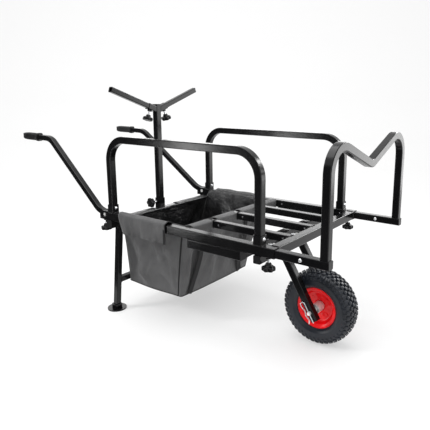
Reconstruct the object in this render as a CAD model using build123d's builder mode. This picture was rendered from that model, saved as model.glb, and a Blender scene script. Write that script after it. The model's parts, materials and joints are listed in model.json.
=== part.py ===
from build123d import *
import os
from math import atan2, cos, hypot, sin, tan

# One-wheel gear barrow: a square-tube deck on a pneumatic wheel in front and two legs behind, with
# lifting handles, side hoops, a sliding front bar, a mast with a V rest and a fabric basket.
# Millimetres, +Z up from the ground, +X forward, +Y to the left of a person who pushes it.

os.makedirs("parts", exist_ok=True)

# ---- Overall layout: distances along X are counted from the wheel's axle ------------------------
front_reach = 166.0
rear_reach = 1334.0
axle_x = (rear_reach - front_reach) / 2

deck_top = 407.0
rail_size = 30.0
rail_y = 276.0
rail_front = axle_x - 6.0
rail_rear = axle_x - 745.0
tube_size = 25.0
tube_wall = 2.0
tube_corner = 3.0

# ---- Clearances and fastener sizes --------------------------------------------------------------
seat_gap = 0.3
slide_gap = 0.5
running_gap = 0.08
stud_radius = 4.0
nut_flats = 15.0
nut_height = 6.0
rivet_radius = 3.5
rivet_height = 2.0
cap_height = 2.0

# ---- Levels that follow -------------------------------------------------------------------------
rail_z = deck_top - rail_size / 2
rail_bottom = deck_top - rail_size
rail_inner_y = rail_y - rail_size / 2
rail_outer_y = rail_y + rail_size / 2
insert_size = rail_size - 2 * tube_wall - 2 * slide_gap
lower_z = rail_bottom - rail_size / 2
sides = ((1, "left"), (-1, "right"))


# ---- Shapes used more than once -----------------------------------------------------------------
def tube_profile(size, wall):
    """The section of a square tube, drawn in the open sketch."""
    RectangleRounded(size, size, tube_corner)
    RectangleRounded(size - 2 * wall, size - 2 * wall, tube_corner - wall / 2, mode=Mode.SUBTRACT)


def facing(x, y, z, direction):
    """A plane at a point, with its normal along a direction and its x axis level or forward."""
    forward = (1, 0, 0) if abs(direction[0]) < 0.99 else (0, 1, 0)
    return Plane(origin=(x, y, z), x_dir=forward, z_dir=direction)


def straight_tube(plane, length, size, wall=tube_wall):
    """A square tube that starts on a plane and runs along its normal."""
    with BuildPart() as tube:
        with BuildSketch(plane):
            tube_profile(size, wall)
        extrude(amount=length)
    return tube.part


def bent_tube(points, bend_radii, size, section_x, wall=tube_wall):
    """A square tube along straight runs joined by bends."""
    with BuildPart() as tube:
        with BuildLine() as path:
            FilletPolyline(*points, radius=bend_radii)
        with BuildSketch(Plane(origin=path.line @ 0, x_dir=section_x, z_dir=path.line % 0)):
            tube_profile(size, wall)
        sweep(path=path.line)
    return tube.part


def dome_head(plane, radius, height, shank_radius=0.0, shank_length=0.0):
    """A dome-headed fastener: the head stands on the plane, and its shank, if any, is behind it."""
    ball = (radius ** 2 + height ** 2) / (2 * height)
    with BuildPart() as fastener:
        with BuildSketch(Plane.XZ):
            with BuildLine():
                Line((0, 0), (radius, 0))
                RadiusArc((radius, 0), (0, height), -ball)
                Line((0, height), (0, 0))
            make_face()
        revolve(axis=Axis.Z)
        if shank_length:
            with BuildSketch(Plane.XY):
                Circle(shank_radius)
            extrude(amount=-shank_length)
    return fastener.part.moved(plane.location)


knob_radius = 21.0
knob_lobes = 6
knob_lobe_radius = 8.0
knob_grip_height = 14.0
knob_height = 24.0
knob_hub_radius = 11.0
knob_neck_radius = 7.5


def star_knob(plane, stud_length):
    """A lobed knob behind the plane, with its stud standing out along the plane's normal."""
    with BuildPart() as knob:
        with BuildSketch(Plane.XY.offset(-knob_height)):
            Circle(knob_radius - knob_lobe_radius / 2)
            with PolarLocations(knob_radius - knob_lobe_radius, knob_lobes):
                Circle(knob_lobe_radius)
        extrude(amount=knob_grip_height)
        with BuildSketch(Plane.XY.offset(knob_grip_height - knob_height)):
            Circle(knob_hub_radius)
        with BuildSketch(Plane.XY):
            Circle(knob_neck_radius)
        loft()
        with BuildSketch(Plane.XY):
            Circle(stud_radius)
        extrude(amount=stud_length)
    return knob.part.moved(plane.location)


# ================================ DECK ===========================================================
# Side rails: hollow tubes; the front bar slides in their front ends, clamped from below.
front_knob_x = axle_x - 33.0
for side, name in sides:
    nut_place = (front_knob_x, side * rail_y)
    with BuildPart() as rail:
        with BuildSketch(Plane.YZ.offset(rail_rear)):
            with Locations((side * rail_y, rail_z)):
                tube_profile(rail_size, tube_wall)
        extrude(amount=rail_front - rail_rear)
        with BuildSketch(Plane.XY.offset(rail_bottom - nut_height)):
            with Locations(nut_place):
                RegularPolygon(nut_flats / 2, 6, major_radius=False)
        extrude(amount=nut_height)
        with BuildSketch(Plane.XY.offset(rail_bottom - nut_height)):
            with Locations(nut_place):
                Circle(stud_radius + running_gap)
        extrude(amount=nut_height + tube_wall, mode=Mode.SUBTRACT)
    rail.part.label = f"{name}_rail"
    export_step(rail.part, f"parts/{name}_rail.step")

# Cross tubes at rail level, between the rails.
front_cross_x = rail_front - rail_size / 2
middle_cross_x = axle_x - 364.0
for name, cross_x in (("front_cross_tube", front_cross_x), ("middle_cross_tube", middle_cross_x)):
    with BuildPart() as cross_tube:
        add(straight_tube(facing(cross_x, -rail_inner_y, rail_z, (0, 1, 0)), 2 * rail_inner_y, rail_size))
    cross_tube.part.label = name
    export_step(cross_tube.part, f"parts/{name}.step")

# Cross tube under the rails' rear ends: it carries the mast, the legs and the basket's rear edge.
rear_cross_x = axle_x - 738.0
with BuildPart() as rear_cross_tube:
    add(straight_tube(facing(rear_cross_x, -rail_outer_y, lower_z, (0, 1, 0)), 2 * rail_outer_y, rail_size))
rear_cross_tube.part.label = "rear_cross_tube"
export_step(rear_cross_tube.part, "parts/rear_cross_tube.step")

# Three inner rails carry the load between the middle and the front cross tube.
inner_rail_pitch = 140.0
inner_rail_start = middle_cross_x + rail_size / 2
inner_rail_end = front_cross_x - rail_size / 2
inner_rail_z = deck_top - tube_size / 2
with BuildPart() as inner_rails:
    with BuildSketch(Plane.YZ.offset(inner_rail_start)):
        with Locations(*[(y, inner_rail_z) for y in (-inner_rail_pitch, 0, inner_rail_pitch)]):
            tube_profile(tube_size, tube_wall)
    extrude(amount=inner_rail_end - inner_rail_start)
inner_rails.part.label = "inner_rails"
export_step(inner_rails.part, "parts/inner_rails.step")

# ================================ FORK SUBFRAME ==================================================
# Two tubes under the rails, joined by the cross tube that the fork hangs from.
lower_tube_start = axle_x - 340.0
lower_tube_end = axle_x - 127.0
with BuildPart() as lower_side_tubes:
    with BuildSketch(Plane.YZ.offset(lower_tube_start)):
        with Locations((-rail_y, lower_z), (rail_y, lower_z)):
            tube_profile(rail_size, tube_wall)
    extrude(amount=lower_tube_end - lower_tube_start)
lower_side_tubes.part.label = "lower_side_tubes"
export_step(lower_side_tubes.part, "parts/lower_side_tubes.step")

fork_cross_x = lower_tube_end - rail_size / 2
with BuildPart() as fork_cross_tube:
    add(straight_tube(facing(fork_cross_x, -rail_inner_y, lower_z, (0, 1, 0)), 2 * rail_inner_y, rail_size))
fork_cross_tube.part.label = "fork_cross_tube"
export_step(fork_cross_tube.part, "parts/fork_cross_tube.step")

# Second lower cross tube, ahead of the fork, with four upright clevis pins through it.
brace_x = rail_front - rail_size - 28.0
brace_z = rail_bottom - tube_size / 2
pin_places = tuple((brace_x, y) for y in (-200.0, -62.0, 62.0, 200.0))
pin_radius = 4.0
with BuildPart() as front_lower_tube:
    add(straight_tube(facing(brace_x, -rail_outer_y, brace_z, (0, 1, 0)), 2 * rail_outer_y, tube_size))
    with BuildSketch(Plane.XY.offset(rail_bottom)):
        with Locations(*pin_places):
            Circle(pin_radius + running_gap)
    extrude(amount=-tube_size, mode=Mode.SUBTRACT)
front_lower_tube.part.label = "front_lower_tube"
export_step(front_lower_tube.part, "parts/front_lower_tube.step")

pin_head_radius = 7.0
pin_head_height = 3.0
pin_rise = 14.0
clip_wire = 2.5
clip_z = rail_bottom + 8.0
with BuildPart() as fork_pins:
    with BuildSketch(Plane.XY.offset(rail_bottom - tube_size - pin_head_height)):
        with Locations(*pin_places):
            Circle(pin_head_radius)
    extrude(amount=pin_head_height)
    with BuildSketch(Plane.XY.offset(rail_bottom - tube_size)):
        with Locations(*pin_places):
            Circle(pin_radius)
    extrude(amount=tube_size + pin_rise)
    with Locations(*[Pos(x, y, clip_z) for x, y in pin_places]):
        Cylinder(clip_wire / 2 + running_gap, 4 * pin_radius, rotation=(0, 90, 0), mode=Mode.SUBTRACT)
fork_pins.part.label = "fork_pins"
export_step(fork_pins.part, "parts/fork_pins.step")


def spring_clip(plane, length, wire, belly):
    """A spring cotter in the plane: a straight leg on the x axis and a sprung leg beside it."""
    loop = belly * 0.55
    with BuildPart() as clip:
        with BuildLine() as path:
            Line((-length * 0.45, 0), (length * 0.45, 0))
            ThreePointArc((length * 0.45, 0), (length * 0.45 + loop, loop), (length * 0.45, 2 * loop))
            Spline(
                (length * 0.45, 2 * loop),
                (length * 0.12, belly * 0.75),
                (-length * 0.02, belly),
                (-length * 0.25, belly * 0.72),
                (-length * 0.42, belly * 1.15),
                tangents=((-1, 0), (-1, 0.6)),
            )
        with BuildSketch(Plane(origin=path.line @ 0, z_dir=path.line % 0)):
            Circle(wire / 2)
        sweep(path=path.line)
    return clip.part.moved(plane.location)


# The clevis pins' clips lie along the deck, just above the tube.
clip_length = 44.0
clip_belly = 8.0
with BuildPart() as fork_clips:
    for pin_x, pin_y in pin_places:
        add(spring_clip(facing(pin_x, pin_y, clip_z, (0, 0, 1)), clip_length, clip_wire, clip_belly))
fork_clips.part.label = "fork_clips"
export_step(fork_clips.part, "parts/fork_clips.step")

# ================================ WHEEL ==========================================================
axle_z = 130.0
tyre_radius = axle_z
tyre_half_width = 42.0
rim_radius = 62.0
rim_half_width = 27.0
sheet = 2.0
axle_radius = 6.0
hub_radius = 17.0
hub_half_length = 40.0
bearing_radius = 14.0
bearing_width = 8.0
fork_size = tube_size
fork_y = 62.0
fork_inner_y = fork_y - fork_size / 2
wheel_side = Plane(origin=(axle_x, 0, axle_z), x_dir=(1, 0, 0), z_dir=(0, 1, 0))
wheel_section = Plane(origin=(axle_x, 0, axle_z), x_dir=(0, 1, 0), z_dir=(1, 0, 0))
wheel_axis = Axis((axle_x, 0, axle_z), (0, 1, 0))

# Tyre: a hollow casing that is open on the rim's side. Local x is across the wheel, y is outwards.
casing = 6.0
bead_radius = rim_radius + seat_gap
bead_top = bead_radius + 12
bead_outer = rim_half_width - 2 - sheet - seat_gap
bead_inner = bead_outer - casing
wall_radius = (rim_radius + tyre_radius) / 2 + 8
shoulder = (tyre_half_width * 0.72, tyre_radius - 7)
with BuildPart() as tyre:
    with BuildSketch(wheel_section):
        with BuildLine():
            Polyline((-bead_inner, bead_radius), (-bead_outer, bead_radius), (-bead_outer, bead_top))
            Spline(
                (-bead_outer, bead_top),
                (-tyre_half_width, wall_radius),
                (-shoulder[0], shoulder[1]),
                (0, tyre_radius),
                shoulder,
                (tyre_half_width, wall_radius),
                (bead_outer, bead_top),
            )
            Polyline((bead_outer, bead_top), (bead_outer, bead_radius), (bead_inner, bead_radius))
            Line((bead_inner, bead_radius), (bead_inner, bead_top))
            Spline(
                (bead_inner, bead_top),
                (tyre_half_width - casing, wall_radius - 2),
                (0, tyre_radius - 2 * casing),
                (casing - tyre_half_width, wall_radius - 2),
                (-bead_inner, bead_top),
            )
            Line((-bead_inner, bead_top), (-bead_inner, bead_radius))
        make_face()
    revolve(axis=wheel_axis)
tyre.part.label = "tyre"
export_step(tyre.part, "parts/tyre.step")

# Inner tube: a hollow ring that lies against the casing's crown.
tube_radius = 22.0
tube_half_width = 25.0
tube_skin = 2.0
with BuildPart() as inner_tube:
    with BuildSketch(wheel_section):
        with Locations((0, tyre_radius - 2 * casing - seat_gap - tube_radius)):
            Ellipse(tube_half_width, tube_radius)
            Ellipse(tube_half_width - tube_skin, tube_radius - tube_skin, mode=Mode.SUBTRACT)
    revolve(axis=wheel_axis)
inner_tube.part.label = "inner_tube"
export_step(inner_tube.part, "parts/inner_tube.step")

# Rim: two pressed dishes bolted back to back, each with a flange that holds one bead.
rim_bolt_circle = 36.0
rim_bolt_radius = 3.0
rim_bolt_flats = 10.0
rim_bolt_head = 4.0
rim_bolt_nut = 5.0
for side, name in sides:
    with BuildPart() as rim_half:
        with BuildSketch(wheel_section):
            with BuildLine():
                Polyline(
                    (0, hub_radius),
                    (side * sheet, hub_radius),
                    (side * sheet, 46),
                    (side * 8, rim_radius - 2 * sheet),
                    (side * (rim_half_width - 2), rim_radius - 2 * sheet),
                    (side * (rim_half_width - 2), rim_radius + 6),
                    (side * (rim_half_width + 2), rim_radius + 8),
                    (side * (rim_half_width + 2), rim_radius + 8 + sheet),
                    (side * (rim_half_width - 2 - sheet), rim_radius + 7),
                    (side * (rim_half_width - 2 - sheet), rim_radius - sheet),
                    (side * 7, rim_radius - sheet),
                    (0, 47),
                    (0, hub_radius),
                )
            make_face()
        revolve(axis=wheel_axis)
        with BuildSketch(wheel_side):
            with PolarLocations(rim_bolt_circle, 4, start_angle=45):
                Circle(rim_bolt_radius + running_gap)
        extrude(amount=sheet, both=True, mode=Mode.SUBTRACT)
    rim_half.part.label = f"{name}_rim_half"
    export_step(rim_half.part, f"parts/{name}_rim_half.step")

with BuildPart() as rim_bolts:
    with BuildSketch(wheel_side.offset(-sheet - rim_bolt_head)):
        with PolarLocations(rim_bolt_circle, 4, start_angle=45):
            RegularPolygon(rim_bolt_flats / 2, 6, major_radius=False)
    extrude(amount=rim_bolt_head)
    with BuildSketch(wheel_side.offset(-sheet)):
        with PolarLocations(rim_bolt_circle, 4, start_angle=45):
            Circle(rim_bolt_radius)
    extrude(amount=2 * sheet)
    with BuildSketch(wheel_side.offset(sheet)):
        with PolarLocations(rim_bolt_circle, 4, start_angle=45):
            RegularPolygon(rim_bolt_flats / 2, 6, major_radius=False)
    extrude(amount=rim_bolt_nut)
rim_bolts.part.label = "rim_bolts"
export_step(rim_bolts.part, "parts/rim_bolts.step")

# Hub: a tube with a bearing pressed into each end.
with BuildPart() as hub:
    with BuildSketch(wheel_side.offset(-hub_half_length)):
        Circle(hub_radius)
        Circle(bearing_radius - 2, mode=Mode.SUBTRACT)
    extrude(amount=2 * hub_half_length)
    for end in (-1, 1):
        with BuildSketch(wheel_side.offset(end * hub_half_length)):
            Circle(bearing_radius)
        extrude(amount=-end * bearing_width, mode=Mode.SUBTRACT)
hub.part.label = "hub"
export_step(hub.part, "parts/hub.step")

with BuildPart() as wheel_bearings:
    for end in (-1, 1):
        with BuildSketch(wheel_side.offset(end * hub_half_length)):
            Circle(bearing_radius)
            Circle(axle_radius + running_gap, mode=Mode.SUBTRACT)
        extrude(amount=-end * bearing_width)
wheel_bearings.part.label = "wheel_bearings"
export_step(wheel_bearings.part, "parts/wheel_bearings.step")

# Valve stem: it stands out of the left rim half, under the flange.
valve_radius = 3.0
valve_length = 21.0
valve_height = 42.0
valve_plane = Plane((axle_x, sheet + seat_gap, axle_z + valve_height), x_dir=(1, 0, 0), z_dir=(0, 1, 0))
with BuildPart() as valve_stem:
    with BuildSketch(valve_plane):
        Circle(valve_radius + 1.0)
    extrude(amount=valve_length / 3)
    with BuildSketch(valve_plane):
        Circle(valve_radius)
    extrude(amount=valve_length)
valve_stem.part.label = "valve_stem"
export_step(valve_stem.part, "parts/valve_stem.step")

# Axle: it passes both fork arms, with a head on the left and a spring clip on the right.
axle_head = 4.0
axle_tail = 10.0
axle_clip_wire = 3.5
axle_clip_y = -(fork_y + fork_size / 2 + axle_tail / 2)
fork_top_x = fork_cross_x + 11.6
fork_angle = atan2(axle_x - fork_top_x, rail_bottom - rail_size - axle_z)
fork_up = (-sin(fork_angle), 0, cos(fork_angle))
with BuildPart() as axle:
    with BuildSketch(wheel_side.offset(fork_y + fork_size / 2)):
        Circle(axle_radius + 4)
    extrude(amount=axle_head)
    with BuildSketch(wheel_side.offset(fork_y + fork_size / 2)):
        Circle(axle_radius)
    extrude(amount=-(2 * fork_y + fork_size + axle_tail))
    with BuildSketch(Plane((axle_x, axle_clip_y, axle_z), x_dir=(0, 1, 0), z_dir=fork_up)):
        Circle(axle_clip_wire / 2 + running_gap)
    extrude(amount=2 * axle_radius, both=True, mode=Mode.SUBTRACT)
axle.part.label = "axle"
export_step(axle.part, "parts/axle.step")

# The spring clip lies along the right fork arm, with its sprung leg on the rear side.
axle_clip_length = 76.0
axle_clip_belly = 15.0
axle_clip_plane = Plane((axle_x, axle_clip_y, axle_z), x_dir=fork_up, z_dir=(0, -1, 0))
with BuildPart() as axle_clip:
    add(spring_clip(axle_clip_plane, axle_clip_length, axle_clip_wire, axle_clip_belly))
axle_clip.part.label = "axle_clip"
export_step(axle_clip.part, "parts/axle_clip.step")

with BuildPart() as axle_spacers:
    for end in (-1, 1):
        with BuildSketch(wheel_side.offset(end * (hub_half_length + seat_gap))):
            Circle(axle_radius + 3)
            Circle(axle_radius + running_gap, mode=Mode.SUBTRACT)
        extrude(amount=end * (fork_inner_y - hub_half_length - seat_gap))
axle_spacers.part.label = "axle_spacers"
export_step(axle_spacers.part, "parts/axle_spacers.step")

# Fork arms: leaning tubes from the fork cross tube down past the axle.
fork_tail = 32.0
fork_length = (rail_bottom - rail_size - axle_z) / cos(fork_angle) + fork_size + fork_tail
for side, name in sides:
    with BuildPart() as fork_arm:
        foot = Plane(
            (axle_x + fork_tail * sin(fork_angle), side * fork_y, axle_z - fork_tail * cos(fork_angle)),
            x_dir=(0, 1, 0),
            z_dir=fork_up,
        )
        add(straight_tube(foot, fork_length, fork_size))
        split(bisect_by=Plane.XY.offset(rail_bottom - rail_size), keep=Keep.BOTTOM)
        with BuildSketch(wheel_side.offset(side * (fork_y + fork_size))):
            Circle(axle_radius + running_gap)
        extrude(amount=-side * 2 * fork_size, mode=Mode.SUBTRACT)
    fork_arm.part.label = f"{name}_fork_arm"
    export_step(fork_arm.part, f"parts/{name}_fork_arm.step")

# ================================ LEGS ===========================================================
leg_size = 22.0
leg_y = 250.0
leg_top = (axle_x - 732.0, rail_bottom - rail_size)
leg_foot_x = axle_x - 772.0
foot_radius = 37.0
foot_height = 5.0
ankle_height = 16.0
leg_slope = atan2(leg_top[0] - leg_foot_x, leg_top[1])
leg_up = (sin(leg_slope), 0, cos(leg_slope))
for side, name in sides:
    with BuildPart() as leg:
        leg_base = Plane((leg_foot_x, side * leg_y, 0), x_dir=(0, 1, 0), z_dir=leg_up)
        add(straight_tube(leg_base, deck_top, leg_size))
        split(bisect_by=Plane.XY.offset(leg_top[1]), keep=Keep.BOTTOM)
        split(bisect_by=Plane.XY.offset(foot_height + seat_gap), keep=Keep.TOP)
    leg.part.label = f"{name}_leg"
    export_step(leg.part, f"parts/{name}_leg.step")

# Brace between the legs, square to them.
brace_height = 124.0
brace_start = (leg_foot_x + brace_height * tan(leg_slope), leg_size / 2 - leg_y, brace_height)
brace_level = (cos(leg_slope), 0, -sin(leg_slope))
with BuildPart() as leg_brace:
    add(straight_tube(Plane(brace_start, x_dir=brace_level, z_dir=(0, 1, 0)), 2 * leg_y - leg_size, leg_size))
leg_brace.part.label = "leg_brace"
export_step(leg_brace.part, "parts/leg_brace.step")


def leg_pocket(side):
    """The hollow of a foot's socket: the leaning leg with a seat gap all round."""
    with BuildPart() as pocket:
        with BuildSketch(Plane((leg_foot_x, side * leg_y, 0), x_dir=(0, 1, 0), z_dir=leg_up)):
            Rectangle(leg_size + 2 * seat_gap, leg_size + 2 * seat_gap)
        extrude(amount=3 * (foot_height + ankle_height))
        split(bisect_by=Plane.XY.offset(foot_height), keep=Keep.TOP)
    return pocket.part


# Feet: a round plate with a short socket that the leg stands in.
ankle_wall = 3.0
with BuildPart() as feet:
    for side, name in sides:
        with BuildSketch():
            with Locations((leg_foot_x, side * leg_y)):
                Circle(foot_radius)
        extrude(amount=foot_height)
        with BuildSketch(Plane.XY.offset(foot_height)):
            with Locations((leg_foot_x + foot_height * tan(leg_slope), side * leg_y)):
                RectangleRounded(leg_size + 3 * ankle_wall, leg_size + 2 * ankle_wall, tube_corner)
        extrude(amount=ankle_height)
        add(leg_pocket(side), mode=Mode.SUBTRACT)
feet.part.label = "feet"
export_step(feet.part, "parts/feet.step")

# Plastic caps that close the open tube ends of the frame.
with BuildPart() as frame_end_caps:
    for side, name in sides:
        with BuildSketch(facing(rear_cross_x, side * rail_outer_y, lower_z, (0, side, 0))):
            RectangleRounded(rail_size, rail_size, tube_corner)
        extrude(amount=cap_height)
        with BuildSketch(facing(brace_x, side * rail_outer_y, brace_z, (0, side, 0))):
            RectangleRounded(tube_size, tube_size, tube_corner)
        extrude(amount=cap_height)
        with BuildSketch(Plane.YZ.offset(lower_tube_end)):
            with Locations((side * rail_y, lower_z)):
                RectangleRounded(rail_size, rail_size, tube_corner)
        extrude(amount=cap_height)
        with BuildSketch(Plane.YZ.offset(lower_tube_start)):
            with Locations((side * rail_y, lower_z)):
                RectangleRounded(rail_size, rail_size, tube_corner)
        extrude(amount=-cap_height)
frame_end_caps.part.label = "frame_end_caps"
export_step(frame_end_caps.part, "parts/frame_end_caps.step")

# Rivets: on both sides of each inner rail near its ends, and on the inside of each side rail.
rivet_inset = 26.0
rivet_xs = (inner_rail_start + rivet_inset, inner_rail_end - rivet_inset)
with BuildPart() as frame_rivets:
    for rivet_x in rivet_xs:
        for rail_centre in (-inner_rail_pitch, 0, inner_rail_pitch):
            for face in (-1, 1):
                place = facing(rivet_x, rail_centre + face * tube_size / 2, inner_rail_z, (0, face, 0))
                add(dome_head(place, rivet_radius, rivet_height))
        for side, name in sides:
            place = facing(rivet_x, side * rail_inner_y, rail_z, (0, -side, 0))
            add(dome_head(place, rivet_radius, rivet_height))
frame_rivets.part.label = "frame_rivets"
export_step(frame_rivets.part, "parts/frame_rivets.step")

# ================================ SIDE BARS ======================================================
# Hoops that stand in four sockets on the rails and lift straight out.
side_bar_rear = rail_rear + rail_size / 2 + 2.0
side_bar_front = axle_x - 65.0
side_bar_top = deck_top + 274.0
side_bar_bend = 80.0
socket_height = 30.0
screw_rise = 18.0
screw_head_radius = 6.0
screw_head_height = 4.5
screw_shank_radius = 3.0
with BuildPart() as side_bar_sockets:
    for side, name in sides:
        for socket_x in (side_bar_rear, side_bar_front):
            add(straight_tube(facing(socket_x, side * rail_y, deck_top, (0, 0, 1)), socket_height, rail_size))
            with BuildSketch(Plane.YZ.offset(socket_x + rail_size / 2)):
                with Locations((side * rail_y, deck_top + screw_rise)):
                    Circle(screw_shank_radius + running_gap)
            extrude(amount=-tube_wall, mode=Mode.SUBTRACT)
side_bar_sockets.part.label = "side_bar_sockets"
export_step(side_bar_sockets.part, "parts/side_bar_sockets.step")

with BuildPart() as side_bar_screws:
    for side, name in sides:
        for socket_x in (side_bar_rear, side_bar_front):
            place = facing(socket_x + rail_size / 2, side * rail_y, deck_top + screw_rise, (1, 0, 0))
            add(dome_head(place, screw_head_radius, screw_head_height, screw_shank_radius, tube_wall))
side_bar_screws.part.label = "side_bar_screws"
export_step(side_bar_screws.part, "parts/side_bar_screws.step")

for side, name in sides:
    hoop = (
        (side_bar_rear, side * rail_y, deck_top + seat_gap),
        (side_bar_rear, side * rail_y, side_bar_top),
        (side_bar_front, side * rail_y, side_bar_top),
        (side_bar_front, side * rail_y, deck_top + seat_gap),
    )
    with BuildPart() as side_bar:
        add(bent_tube(hoop, side_bar_bend, insert_size, (1, 0, 0)))
    side_bar.part.label = f"{name}_side_bar"
    export_step(side_bar.part, f"parts/{name}_side_bar.step")

# ================================ FRONT BAR ======================================================
# An M-shaped bar on two tubes that slide in the rails' front ends.
front_bar_x = axle_x + 150.0
front_bar_peak = deck_top + 328.0
front_bar_valley = deck_top + 226.0
front_bar_peak_bend = 70.0
front_bar_valley_bend = 40.0
front_bar_insertion = 160.0
front_bolt_x = axle_x + 78.0
front_bolt_z = rail_z
front_bar_foot = rail_z + insert_size / 2
front_bar_outline = (
    (front_bar_x, rail_y, front_bar_foot),
    (front_bar_x, rail_y, front_bar_peak),
    (front_bar_x, 0, front_bar_valley),
    (front_bar_x, -rail_y, front_bar_peak),
    (front_bar_x, -rail_y, front_bar_foot),
)
with BuildPart() as front_bar:
    bends = [front_bar_peak_bend, front_bar_valley_bend, front_bar_peak_bend]
    add(bent_tube(front_bar_outline, bends, insert_size, (1, 0, 0)))
front_bar.part.label = "front_bar"
export_step(front_bar.part, "parts/front_bar.step")

front_tube_end = axle_x + front_reach - cap_height
front_tube_start = rail_front - front_bar_insertion
with BuildPart() as front_bar_tubes:
    with BuildSketch(Plane.YZ.offset(front_tube_start)):
        with Locations((-rail_y, rail_z), (rail_y, rail_z)):
            tube_profile(insert_size, tube_wall)
    extrude(amount=front_tube_end - front_tube_start)
    with BuildSketch(facing(front_bolt_x, -rail_outer_y, front_bolt_z, (0, 1, 0))):
        Circle(screw_shank_radius + running_gap)
    extrude(amount=2 * rail_outer_y, mode=Mode.SUBTRACT)
front_bar_tubes.part.label = "front_bar_tubes"
export_step(front_bar_tubes.part, "parts/front_bar_tubes.step")

with BuildPart() as front_bar_caps:
    with BuildSketch(Plane.YZ.offset(front_tube_end)):
        with Locations((-rail_y, rail_z), (rail_y, rail_z)):
            RectangleRounded(insert_size, insert_size, tube_corner)
    extrude(amount=cap_height)
front_bar_caps.part.label = "front_bar_caps"
export_step(front_bar_caps.part, "parts/front_bar_caps.step")

with BuildPart() as front_bar_bolts:
    for side, name in sides:
        for face in (-1, 1):
            place = facing(front_bolt_x, side * rail_y + face * insert_size / 2, front_bolt_z, (0, face, 0))
            add(dome_head(place, screw_head_radius, screw_head_height, screw_shank_radius, insert_size / 2))
front_bar_bolts.part.label = "front_bar_bolts"
export_step(front_bar_bolts.part, "parts/front_bar_bolts.step")

front_knob_face = rail_bottom - tube_size + 6.0
front_stud = rail_z - insert_size / 2 - seat_gap - front_knob_face
for side, name in sides:
    with BuildPart() as front_knob:
        add(star_knob(facing(front_knob_x, side * rail_y, front_knob_face, (0, 0, 1)), front_stud))
    front_knob.part.label = f"{name}_front_knob"
    export_step(front_knob.part, f"parts/{name}_front_knob.step")

# ================================ HANDLES ========================================================
# Each handle turns on a pin in a channel at the rail's rear end and is clamped from below.
handle_size = 22.0
handle_bend = 80.0
pivot_x = rail_rear - 18.0
pivot_z = deck_top - 11.0
lower_bend_x = axle_x - 811.0
lower_bend_z = deck_top + 2.0
upper_bend_x = axle_x - 1136.0
upper_bend_z = deck_top + 251.0
grip_y = 254.0
grip_z = deck_top + 255.0
grip_wall = 3.5
grip_length = 112.0
grip_corner = 9.0
grip_collar = 8.0
grip_end_x = axle_x - rear_reach
hinge_pin_radius = 4.0
hinge_head_radius = 7.0
hinge_head_height = 2.5
cheek_thickness = 3.0
bracket_length = 46.0
bracket_top = deck_top + 4.0
bracket_width = handle_size + 2 * seat_gap + 2 * cheek_thickness
handle_knob_x = rear_cross_x - rail_size / 2 - knob_radius - 1.0
handle_knob_face = rail_bottom - 20.0
handle_slope = (lower_bend_z - pivot_z) / (pivot_x - lower_bend_x)
handle_rise = (pivot_x - handle_knob_x - stud_radius) * handle_slope
handle_underside = pivot_z + handle_rise - handle_size / 2 * hypot(1, handle_slope)
handle_stud = handle_underside - seat_gap - handle_knob_face
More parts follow.
